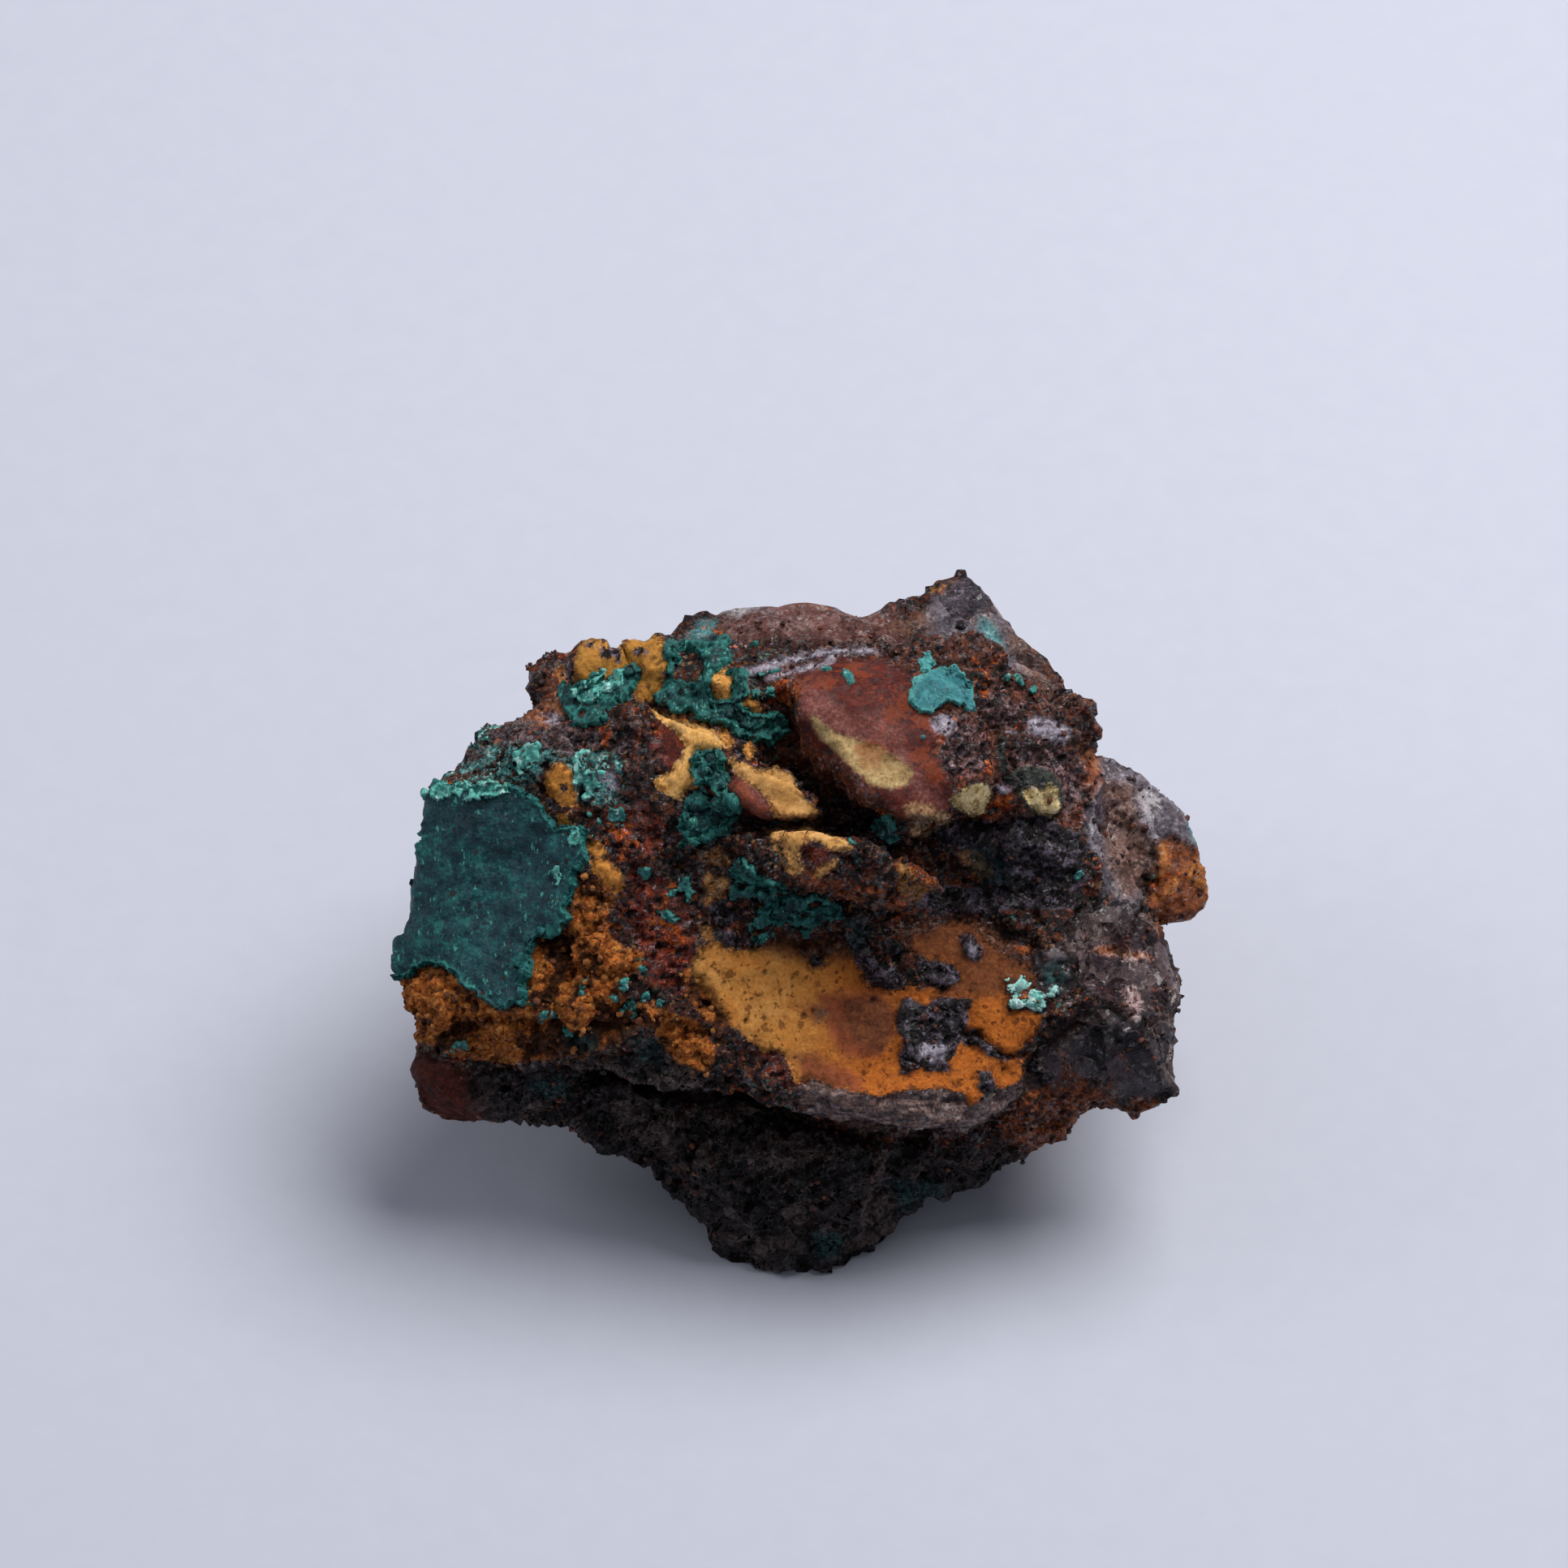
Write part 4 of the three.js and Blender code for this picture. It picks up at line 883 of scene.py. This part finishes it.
def grow_crust(name, rock, outlines, holes, thickness, knobs, lobes, material, voids):
    """A skin over the rock inside the outlines, with a ragged edge that dips into the rock."""
    base, base_normals = points_of(rock.data) / MM, normals_of(rock.data)
    view = to_view(base)[0]
    near = inside_by(view, outlines) > -0.7
    near &= (base_normals @ OUT > -0.35) & (to_face(base)[2] > -9)
    work = bmesh.new()
    work.from_mesh(rock.data)
    work.verts.ensure_lookup_table()
    bmesh.ops.delete(work, geom=[v for v in work.verts if not near[v.index]], context="VERTS")
    bmesh.ops.subdivide_edges(work, edges=work.edges[:], cuts=1, use_grid_fill=True)
    relax(work, 6)
    mesh = bpy.data.meshes.new(name)
    work.to_mesh(mesh)
    work.free()
    points, normals = points_of(mesh) / MM, normals_of(mesh)
    view = ragged(points, to_view(points)[0])
    depth = inside_by(view, outlines)
    if holes:
        depth = np.minimum(depth, -inside_by(view, holes))
    depth = depth + 0.16 * perlin(points, 0.5, 61) + 0.1 * perlin(points, 0.25, 62)
    if voids:
        depth = np.minimum(depth, 0.5 * (voids + perlin(points, 0.9, 63)))
    skin = smooth(-0.03, 0.08, depth)
    first, second, number, _ = cells(points, 1.15, 65)
    cups = np.exp(-(((first - 0.42) / 0.17) ** 2))
    plates = facets(points, 1.0, 67) + 0.5 * facets(points, 0.5, 68)
    bumps = knobs * plates + lobes * (0.5 * cups + 0.3 * number - 0.25)
    curl = 0.35 * thickness * smooth(0.3, 0.05, depth)
    lift = skin * (thickness + curl + bumps + 0.07 * creases(points, 1.3, 3, 69)) - EDGE_DIP * (1 - skin)
    ridge = cups * min(1.0, 3 * lobes) + smooth(0.12, 0.02, second - first) * min(1.0, 2 * knobs)
    along = 0.8 * normals + 0.35 * OUT
    points = points + along * lift[:, None]
    faces = [tuple(p.vertices) for p in mesh.polygons]
    kept = depth > -0.22
    faces = [f for f in faces if any(kept[i] for i in f)]
    used = np.unique(np.concatenate([np.array(f) for f in faces]))
    place = {int(old): new for new, old in enumerate(used)}
    obj = object_from(name, points[used], [tuple(place[i] for i in f) for f in faces], material)
    solid = obj.modifiers.new("thick", "SOLIDIFY")
    solid.thickness = SKIN * MM
    solid.offset = -1
    made = bpy.data.meshes.new_from_object(obj.evaluated_get(bpy.context.evaluated_depsgraph_get()))
    obj.modifiers.clear()
    obj.data = made
    for key, values in {"rim": depth, "ridge": ridge}.items():
        keep(made, key, np.resize(values[used], len(made.vertices)))
    return obj


# ---- Loose grains ----
def crumb_shapes(random, count):
    """Uneven little lumps about 2 across, as points and triangles."""
    shapes = []
    for _ in range(count):
        work = bmesh.new()
        bmesh.ops.create_icosphere(work, subdivisions=1, radius=1)
        points = np.array([v.co[:] for v in work.verts])
        faces = np.array([[v.index for v in f.verts] for f in work.faces])
        work.free()
        points *= (0.75 + 0.4 * random.random(len(points)))[:, None]
        points *= 0.7 + 0.5 * random.random(3)
        shapes.append((points, faces))
    return shapes


def turned(random):
    """A random rotation as a matrix."""
    q = random.normal(size=4)
    w, x, y, z = q / np.linalg.norm(q)
    return np.array([
        [1 - 2 * (y * y + z * z), 2 * (x * y - z * w), 2 * (x * z + y * w)],
        [2 * (x * y + z * w), 1 - 2 * (x * x + z * z), 2 * (y * z - x * w)],
        [2 * (x * z - y * w), 2 * (y * z + x * w), 1 - 2 * (x * x + y * y)],
    ])


def scatter(name, rock, chance, count, sizes, material, seed):
    """Crumbs strewn over the rock where chance says, sunk a little into it."""
    random = np.random.default_rng(seed)
    points, normals = points_of(rock.data) / MM, normals_of(rock.data)
    picks = random.choice(len(points), size=count, p=chance / chance.sum())
    shapes = crumb_shapes(random, 12)
    all_points, all_faces, tones, start = [], [], [], 0
    for pick in picks:
        shape, faces = shapes[random.integers(len(shapes))]
        size = sizes[0] + (sizes[1] - sizes[0]) * random.random() ** 2.2
        crumb = (shape @ turned(random).T) * size + points[pick] + normals[pick] * 0.25 * size
        crumb[:, 2] = np.maximum(crumb[:, 2], 0.0)
        all_points.append(crumb)
        all_faces.append(faces + start)
        tones.append(np.full(len(crumb), random.random()))
        start += len(crumb)
    obj = object_from(name, np.concatenate(all_points), np.concatenate(all_faces).tolist(), material)
    keep(obj.data, "tone", np.concatenate(tones))
    for polygon in obj.data.polygons:
        polygon.use_smooth = False
    return obj


# ---- Materials ----
def linear(text):
    """A colour written as sRGB hexadecimal, as linear numbers with full opacity."""
    channels = [int(text[i : i + 2], 16) / 255 for i in (0, 2, 4)]
    return (*(c / 12.92 if c <= 0.04045 else ((c + 0.055) / 1.055) ** 2.4 for c in channels), 1)


class Shader:
    """Short names for building a material out of nodes."""

    def __init__(self, name):
        self.material = bpy.data.materials.new(name)
        self.material.use_nodes = True
        self.tree = self.material.node_tree
        self.tree.nodes.clear()
        output = self.node("OutputMaterial")
        self.body = self.node("BsdfPrincipled")
        self.tree.links.new(self.body.outputs[0], output.inputs[0])
        place = self.node("TexCoord").outputs["Object"]
        self.place = self.node("VectorMath", {0: place, "Scale": 1 / MM}, operation="SCALE").outputs[0]

    def put(self, socket, value):
        if isinstance(value, bpy.types.NodeSocket):
            self.tree.links.new(value, socket)
        else:
            socket.default_value = linear(value) if isinstance(value, str) else value

    def node(self, kind, inputs=(), **settings):
        """A node with its settings and its inputs, which are given in order or by name."""
        node = self.tree.nodes.new("ShaderNode" + kind)
        for name, setting in settings.items():
            setattr(node, name, setting)
        for socket, value in inputs.items() if isinstance(inputs, dict) else enumerate(inputs):
            self.put(node.inputs[socket], value)
        return node

    def math(self, operation, first, *others):
        """The values joined one after the other."""
        for value in others:
            first = self.node("Math", (first, value), operation=operation).outputs[0]
        return first

    def plus(self, *values):
        return self.math("ADD", *values)

    def minus(self, a, b):
        return self.math("SUBTRACT", a, b)

    def times(self, *values):
        return self.math("MULTIPLY", *values)

    def most(self, *values):
        return self.math("MAXIMUM", *values)

    def swing(self, value, share):
        """A number from 0 to 1 as a swing about zero."""
        return self.times(self.minus(value, 0.5), share)

    def blend(self, a, b, share):
        return self.plus(self.times(a, share), self.times(b, 1 - share))

    def step(self, value, low, high):
        return self.node("MapRange", (value, low, high), interpolation_type="SMOOTHSTEP").outputs[0]

    def mix(self, factor, a, b):
        return self.node("Mix", {0: factor, 6: a, 7: b}, data_type="RGBA").outputs[2]

    def ramp(self, value, stops):
        node = self.node("ValToRGB", [value])
        elements = node.color_ramp.elements
        while len(elements) < len(stops):
            elements.new(0.5)
        for element, (at, colour) in zip(elements, stops.items()):
            element.position = at
            element.color = linear(colour) if isinstance(colour, str) else colour
        return node.outputs[0]

    def noise(self, scale, detail=4.0, rough=0.55, distortion=0.0, stretch=None):
        at = self.vector("MULTIPLY", self.place, stretch) if stretch else self.place
        inputs = {"Vector": at, "Scale": scale, "Detail": detail, "Roughness": rough,
                  "Distortion": distortion}
        return self.node("TexNoise", inputs).outputs["Fac"]

    def grains(self, scale):
        """Two numbers for the grain and the height of its tilted flat face."""
        grain = self.node("TexVoronoi", {"Vector": self.place, "Scale": scale}).outputs
        split = self.node("SeparateColor", [grain["Color"]]).outputs
        gap = self.vector("SUBTRACT", self.place, grain["Position"])
        tilt = self.vector("SUBTRACT", grain["Color"], (0.5, 0.5, 0.5))
        slope = self.node("VectorMath", (gap, tilt), operation="DOT_PRODUCT").outputs["Value"]
        return split[0], split[1], slope

    def vector(self, operation, a, b):
        return self.node("VectorMath", (a, b), operation=operation).outputs[0]

    def value(self, name):
        return self.node("Attribute", attribute_name=name).outputs["Fac"]

    def bump(self, height, distance, strength=1.0, under=None):
        inputs = {"Strength": strength, "Distance": distance, "Height": height}
        if under:
            inputs["Normal"] = under
        return self.node("Bump", inputs).outputs[0]

    def finish(self, colour, roughness, normal, specular=0.5):
        inputs = {"Base Color": colour, "Roughness": roughness, "Normal": normal,
                  "Specular IOR Level": specular}
        for name, value in inputs.items():
            self.put(self.body.inputs[name], value)
        return self.material


class RockShader(Shader):
    """The gossan's grains and noise, and its regions as masks with crumbly edges."""

    def __init__(self):
        super().__init__("gossan")
        self.tone, self.tint, self.face = self.grains(2.2)
        self.small_tone, self.small_tint, self.small_face = self.grains(4.8)
        self.slab_tone, _, self.slab_face = self.grains(0.55)
        self.fine = self.noise(4.5, 6, 0.65)
        self.broad = self.noise(0.35, 3, 0.6)
        self.streak = self.noise(1.2, 5, 0.7, 0.6)
        self.edge = self.swing(self.noise(5.0, 3, 0.7), 0.55)
        # Low down and on the underside the colour darkens: partly dark rock, partly painted shade.
        self.low = self.most(self.value("low"), self.region("under", 0.5))
        self.haze = self.blend(self.fine, self.streak, 0.5)
        self.single = self.blend(self.tone, self.small_tone, 0.5)
        self.slabs = self.blend(self.slab_tone, self.blend(self.broad, self.streak, 0.5), 0.45)

    def region(self, name, soft=0.06):
        return self.step(self.plus(self.value(name), self.edge), -soft, soft)

    def tinted(self, base, tints):
        for name, _, soft, share, grainy, dark, middle, light in tints:
            if grainy < 0:
                shade = self.blend(self.slabs, self.haze, -grainy)
            else:
                shade = self.blend(self.single, self.haze, grainy)
            colour = self.ramp(shade, {0.36: dark, 0.5: middle, 0.66: light})
            base = self.mix(self.times(self.region(name, soft), share), base, colour)
        return base


def dark_gossan(s):
    """Dark granular iron oxide, from near black to brown, with a few crumbs of other colours."""
    heat = s.plus(s.noise(2.4, 8, 0.75, 0.4), s.swing(s.broad, 0.3), s.swing(s.tone, 0.2))
    heat = s.minus(s.plus(heat, s.swing(s.small_tone, 0.14)), s.times(s.low, 0.12))
    base = s.ramp(heat, {0.36: "060506", 0.45: "120a0a", 0.52: "35130f", 0.60: "5c2417", 0.70: "8c4c2c"})
    bluish = s.step(s.plus(s.tint, s.times(s.broad, 0.6)), 1.0, 1.15)
    base = s.mix(s.times(bluish, 0.55), base, "25262f")
    front = s.step(s.value("shown"), 0.1, 0.5)
    brown = s.step(s.plus(s.small_tint, s.times(s.streak, 0.35)), 1.04, 1.1)
    base = s.mix(s.times(brown, front, 0.8), base, "8c5a2c")
    mint = s.step(s.plus(s.noise(0.8, 4, 0.7, 0.3), s.times(s.small_tone, 0.16)), 0.74, 0.78)
    base = s.mix(s.times(mint, front, 0.9), base, "2c7068")
    ochre = s.step(s.plus(s.broad, s.times(s.fine, 0.2)), 0.64, 0.72)
    behind = s.step(s.value("shown"), 0.5, 0.1)
    base = s.mix(s.times(behind, ochre), base, s.ramp(s.fine, {0.3: "7a451d", 0.65: "b07a35"}))
    # Near black low down and underneath: partly the rock's dark colour, partly painted shade.
    return s.mix(s.times(s.low, 0.6), base, "070708")


def glowing(s, base):
    """Clusters of ember-orange grains, rust on the red film and lilac streaks of painted highlight."""
    cluster = s.plus(s.noise(0.55, 4, 0.65, 0.5), s.times(s.region("ember", 0.4), 0.2))
    glow = s.times(s.step(cluster, 0.60, 0.66), s.step(s.plus(s.tone, s.times(s.fine, 0.5)), 0.62, 0.82))
    ember = s.ramp(s.blend(s.small_tone, s.fine, 0.5), {0.3: "7a280c", 0.5: "b84a14", 0.7: "e4802e"})
    base = s.mix(s.times(glow, s.minus(1.0, s.value("cool"))), base, ember)
    rusty = s.step(s.plus(s.broad, s.times(s.fine, 0.3)), 0.66, 0.76)
    base = s.mix(s.times(rusty, s.region("film", 0.35), 0.5), base, "8a3c14")
    # Painted highlight: short lilac streaks stand in for glints off the grains.
    dash = s.noise(2.6, 6, 0.72, 0.5, (0.55, 1.5, 1.5))
    lilac = s.step(s.plus(dash, s.swing(s.streak, 0.35)), 0.60, 0.66)
    return s.mix(s.times(lilac, 0.65, s.minus(1.0, s.value("sober"))), base, "b8aabb")


def clod_colour(s):
    """Ochre grains, with painted shade in the spaces between them."""
    grains = s.blend(s.small_tone, s.blend(s.fine, s.streak, 0.5), 0.15)
    clods = s.ramp(grains, {0.3: "44190b", 0.42: "8e4616", 0.52: "ba6a2a", 0.68: "dc9e54"})
    # Painted shade: the spaces between the clods are darkened to near black.
    shade_between = s.step(s.plus(s.value("gaps"), s.swing(s.fine, 1.2)), 0.35, 0.7)
    return s.mix(s.times(shade_between, 0.85), clods, "1e0b08")


def ochre_and_bed(s):
    """Matt ochre with dark pits, and the basin's bed, which turns slowly from yellow to orange."""
    pit = s.step(s.plus(s.small_tone, s.times(s.streak, 0.5)), 1.16, 1.22)
    pit = s.most(pit, s.times(s.step(s.plus(s.tone, s.times(s.streak, 0.8)), 1.34, 1.40), 0.9))
    ochre = s.ramp(s.blend(s.fine, s.broad, 0.6), {0.3: "9a5c20", 0.48: "cc8a40", 0.62: "deaa60"})
    ochre = s.mix(s.times(pit, 0.85), ochre, "3a2010")
    orange = s.ramp(s.fine, {0.2: "6a2a0a", 0.45: "a4561a", 0.75: "c07428"})
    orange = s.mix(s.times(pit, 0.7), orange, "30150a")
    crust = s.step(s.plus(s.streak, s.swing(s.fine, 0.5)), 0.5, 0.62)
    dusty = s.mix(s.times(crust, 0.35), s.mix(0.3, ochre, "a86222"), "7c4818")
    eastward = s.plus(s.node("SeparateXYZ", [s.place]).outputs[0], s.swing(s.broad, 9))
    bed = s.mix(s.step(eastward, -1.5, 4.5), dusty, orange)
    stain = s.ramp(s.streak, {0.35: "54221a", 0.6: "8a4430"})
    return ochre, s.mix(s.times(s.region("stain", 0.5), 0.8), bed, stain)


def edged(s, base):
    """A darker brown band just inside the edges of the ochre, and the layered lip under the basin."""
    inner = s.most(s.value("ochre"), s.value("tan"), s.value("basin"))
    shaken_depth = s.plus(inner, s.swing(s.blend(s.small_tone, s.streak, 0.4), 1.3))
    base = s.mix(s.times(s.step(shaken_depth, 0.32, 0.0), s.step(inner, 0.0, 0.05), 0.6), base, "4a2412")
    layers = s.blend(s.noise(1.6, 5, 0.65, 0.3, (0.22, 1.5, 1.5)), s.fine, 0.75)
    layered = s.ramp(layers, {0.36: "140d0f", 0.46: "4a383c", 0.54: "7c6258", 0.66: "b0a2a6"})
    return s.mix(s.region("lip", 0.12), base, layered)


def rock_colour(s):
    """The dark gossan with every patch of colour laid over it in turn."""
    base = glowing(s, s.tinted(dark_gossan(s), TINTS_BELOW))
    base = s.mix(s.region("clods", 0.12), base, clod_colour(s))
    ochre, bed = ochre_and_bed(s)
    base = s.mix(s.region("basin"), base, bed)
    base = s.mix(s.region("ochre"), base, ochre)
    base = s.tinted(edged(s, s.tinted(base, TAN_TINTS)), TINTS_ABOVE)
    teal = s.ramp(s.blend(s.small_tint, s.fine, 0.4), {0.3: "0f3e40", 0.45: "3a8c8c", 0.7: "9cd4cc"})
    grit = s.step(s.plus(s.streak, s.times(s.small_tone, 0.16)), 0.54, 0.60)
    base = s.mix(s.times(s.region("teal_grit", 0.3), grit), base, teal)
    # Painted shade: the hollows of the fine relief are darkened.
    return s.mix(s.times(s.step(s.value("hollow"), 0.5, 0.8), 0.6), base, "0a0607")


def rock_material():
    s = RockShader()
    region, most, times = s.region, s.most, s.times
    colour = rock_colour(s)
    matt = most(region("basin"), region("ochre"), region("clods", 0.3), times(s.low, 0.6), region("tan"),
                region("cream"), region("cream_low"), times(region("film", 0.3), 0.75), region("hide", 0.3))
    sparkle = s.step(s.plus(s.tint, times(s.small_tint, 0.6)), 0.9, 1.15)
    roughness = most(s.minus(0.6, times(sparkle, 0.44)), times(matt, 0.88))
    specular = s.plus(0.25, times(sparkle, s.minus(1.0, matt), 0.75))
    # Where the grains stand out less, and where broken faces show instead.
    even = most(region("basin"), region("film", 0.3), region("ochre"), region("tan"),
                times(region("grey", 0.2), 0.8), region("slate_painted_shade"), region("slate_painted_light"))
    distant = most(region("back_mauve", 0.4), region("back_grey", 0.3), region("hide"))
    sleek = most(region("tan"), region("cream"), region("cream_low"), region("ochre_pale"))
    even = most(even, times(distant, 0.7), times(region("back_orange", 0.3), 0.6), sleek,
                times(region("pale"), 0.6))
    keen = s.minus(1.0, times(even, 0.85))
    broken = most(region("grey", 0.2), times(distant, 0.6), region("under", 0.4))
    soft = times(s.plus(times(keen, 0.6), 0.4), s.minus(1.0, times(sleek, 0.6)))
    normal = s.bump(times(s.slab_face, broken), 2.6 * MM)
    normal = s.bump(times(s.plus(times(s.face, 1.5), times(s.small_face, 1.6)), keen), MM, 1.0, normal)
    normal = s.bump(times(s.fine, soft), 0.12 * MM, 1.0, normal)
    return s.finish(colour, roughness, normal, specular)


def crust_material(name, dark, middle, light, pale, frosted=0.0, relief=0.7):
    """Teal skin in three shades, with pale flakes; relief is the height of its grains in millimetres."""
    s = Shader(name)
    plus, times, swing = s.plus, s.times, s.swing
    tone, tint, face = s.grains(2.8)
    small_tone, small_tint, small_face = s.grains(6.0)
    fine = s.noise(5.0, 6, 0.65)
    cloud = s.noise(0.9, 5, 0.65, 0.3)
    broad = s.noise(0.22, 3, 0.6)
    runs = s.noise(2.0, 5, 0.7, 0.2, (1.8, 0.6, 0.6))
    mixed = plus(times(fine, 0.22), times(cloud, 0.48), times(broad, 0.22), times(small_tone, 0.08))
    base = s.ramp(mixed, {0.39: dark, 0.51: middle, 0.65: light})
    # Light fringes and ridges, pale flakes and a little soil.
    fringe = s.step(plus(s.value("rim"), swing(cloud, 1.6), swing(small_tone, 0.3)), 0.36, 0.05)
    base = s.mix(times(fringe, 0.8), base, light)
    crest = s.step(plus(s.value("ridge"), swing(fine, 0.8)), 0.6, 0.95)
    base = s.mix(times(crest, 0.7), base, light)
    flakes = plus(times(tone, 0.25), plus(runs, times(small_tint, 0.12)))
    spark = s.step(flakes, 0.85 - 0.16 * frosted, 0.93 - 0.16 * frosted)
    base = s.mix(times(spark, 0.75), base, pale)
    soil = s.step(plus(tint, times(cloud, 0.5)), 1.22, 1.26)
    base = s.mix(times(soil, 0.8), base, "33201a")
    roughness = s.minus(0.58, times(s.step(tint, 0.7, 0.9), 0.3))
    normal = s.bump(plus(face, times(small_face, 0.9)), relief * MM, 1.0)
    normal = s.bump(plus(fine, times(spark, 0.3)), 0.1 * MM, 0.8, normal)
    return s.finish(base, roughness, normal, 0.3)


def grain_material(name, stops, gloss):
    """Loose grains, each with a tone of its own."""
    s = Shader(name)
    fine = s.noise(7.0, 5, 0.65)
    base = s.ramp(s.plus(s.times(s.value("tone"), 0.7), s.times(fine, 0.3)), stops)
    return s.finish(base, s.minus(0.9, s.times(fine, gloss)), s.bump(fine, 0.12 * MM, 0.8))


def floor_material():
    s = Shader("paper")
    fine = s.noise(0.5, 3, 0.5)
    base = s.ramp(fine, {0.3: (0.512, 0.53, 0.617, 1), 0.7: (0.526, 0.544, 0.631, 1)})
    return s.finish(base, s.plus(0.85, s.times(fine, 0.1)), s.bump(fine, 0.05 * MM, 0.3), 0.2)


# ---- Building ----
rock = build_rock(rock_material())
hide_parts("matrix")
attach(rock, "root")

teal = crust_material("pseudomalachite", "07202a", "13424a", "297c76", "5ab8a8", relief=0.35)
flaky = crust_material("pseudomalachite_flaky", "061a20", "0f3439", "2a7a72", "6cc4b6", frosted=0.2)
glaze = crust_material("pseudomalachite_glaze", "185a58", "389288", "72c8bc", "cdeee8", frosted=0.4)
bright = crust_material("pseudomalachite_bright", "1c5458", "357c84", "58a8a4", "8ad0c4")
frosty = crust_material("pseudomalachite_frosty", "0a2e34", "1e565a", "429890", "b8e0de", frosted=0.4)
white = crust_material("pseudomalachite_pale", "1e7470", "6cc4ba", "b4e8e0", "e8f8f6", frosted=0.6)
# Name, CAD node, outlines, holes, thickness, plate relief, lobe relief, material, share of voids.
CRUSTS = [
    ("plate", "crust_plate", PLATE, [], 0.6, 0.08, 0.0, teal, 0.0),
    ("patch", "crust_patch", PATCH + PATCH_TIP, [], 0.26, 0.05, 0.0, bright, 0.0),
    ("crest", "crust_crest", CREST, [], 0.32, 0.3, 0.0, flaky, 0.6),
    ("saddle", "crust_saddle", SADDLE + SADDLE_TIP, SADDLE_HOLES, 0.4, 0.4, 0.0, flaky, 0.7),
    ("rosette", "crust_rosette", ROSETTE, [], 0.5, 0.3, 0.3, flaky, 0.0),
    ("ledge", "crust_ledge", LEDGE, [], 0.25, 0.3, 0.0, flaky, 0.45),
    ("frost_crest", None, FROST_CREST, [], 0.5, 0.45, 0.0, glaze, 0.35),
    ("frost_high", None, FROST_HIGH, [], 0.62, 0.35, 0.0, glaze, 0.25),
    ("frost_low", None, FROST_LOW, [], 0.16, 0.35, 0.0, glaze, 0.2),
    ("flecks", None, FLECKS, [], 0.15, 0.2, 0.0, frosty, 0.0),
    ("sprig", None, SPRIG, [], 0.2, 0.5, 0.0, white, 0.3),
]
for name, node, *growth in CRUSTS:
    piece = grow_crust(name, rock, *growth)
    if node:
        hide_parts(node)
    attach(piece, "root")

# Grains lie where the rock is bare: ochre ones on the clods, dark ones elsewhere and thinly behind.
shown = attribute(rock, "shown")
calm = np.maximum.reduce([attribute(rock, n) for n in ("basin", "ochre", "tan", "film", "lip", "cream")])
crusted = inside_by(to_view(points_of(rock.data) / MM)[0], CRUST_BEDS + ROSETTE + LEDGE)
open_rock = (shown > 0.5) & (calm < -0.15) & (crusted < -0.1)
in_clods = attribute(rock, "clods")
DARK_STOPS = {0.1: "0b0809", 0.4: "2a1414", 0.65: "482018", 0.85: "6e3418", 0.97: "8a7c8a"}
OCHRE_STOPS = {0.1: "3a1a0c", 0.4: "7a4018", 0.75: "a0642a", 0.97: "b47a38"}
grains = [
    scatter("dark_grains", rock, open_rock * (in_clods < 0) * 1.0 + (shown < 0.2) * 0.12, 1100, (0.06, 0.26),
            grain_material("dark_grain", DARK_STOPS, 0.7), 5),
    scatter("ochre_grains", rock, open_rock * (in_clods > -0.2) * 1.0 + 1e-9, 350, (0.06, 0.3),
            grain_material("ochre_grain", OCHRE_STOPS, 0.2), 6),
]
for piece in grains:
    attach(piece, "root")

# ---- Floor, light and camera ----
FLOOR_SIDE = 600.0
FLOOR_FRONT = 500.0
FLOOR_BACK = 700.0
LIGHTS_AIM = np.array([0.0, 0.0, 12.0])
floor_corners = np.array([
    (-FLOOR_SIDE, -FLOOR_FRONT, 0), (FLOOR_SIDE, -FLOOR_FRONT, 0),
    (FLOOR_SIDE, FLOOR_BACK, 0), (-FLOOR_SIDE, FLOOR_BACK, 0),
])
floor = object_from("floor", floor_corners, [(0, 1, 2, 3)], floor_material())


def area_light(name, at, size, power, colour):
    """A round light, placed in millimetres and turned to the specimen."""
    light = bpy.data.lights.new(name, "AREA")
    light.shape = "DISK"
    light.size = size * MM
    light.energy = power
    light.color = colour
    obj = bpy.data.objects.new(name, light)
    obj.location = [MM * c for c in at]
    toward = LIGHTS_AIM - np.array(at, dtype=float)
    obj.rotation_euler = Vector(toward).to_track_quat("-Z", "Y").to_euler()
    bpy.context.scene.collection.objects.link(obj)


area_light("window", (155, 130, 392), 340, 2.3, (1.0, 0.985, 0.97))
area_light("side", (-330, 60, 220), 200, 0.3, (0.95, 0.97, 1.0))

world = bpy.data.worlds.new("room")
world.use_nodes = True
sky = world.node_tree.nodes["Background"].inputs
sky["Color"].default_value = (0.86, 0.89, 1.0, 1)
sky["Strength"].default_value = 0.22
bpy.context.scene.world = world
bpy.context.scene.view_settings.view_transform = "Standard"

camera_data = bpy.data.cameras.new("camera")
camera_data.sensor_width = SENSOR
camera_data.lens = SENSOR * VIEW_DISTANCE / VIEW_WIDTH
camera = bpy.data.objects.new("camera", camera_data)
axis = FACE_ORIGIN + ACROSS * (AXIS_PX - FACE_PX[0]) / PX_PER_MM + UP * (FACE_PX[1] - AXIS_PX) / PX_PER_MM
turn = Matrix([(ACROSS[i], UP[i], OUT[i]) for i in range(3)])
camera.matrix_world = Matrix.Translation((axis + OUT * VIEW_DISTANCE) * MM) @ turn.to_4x4()
bpy.context.scene.collection.objects.link(camera)
bpy.context.scene.camera = camera
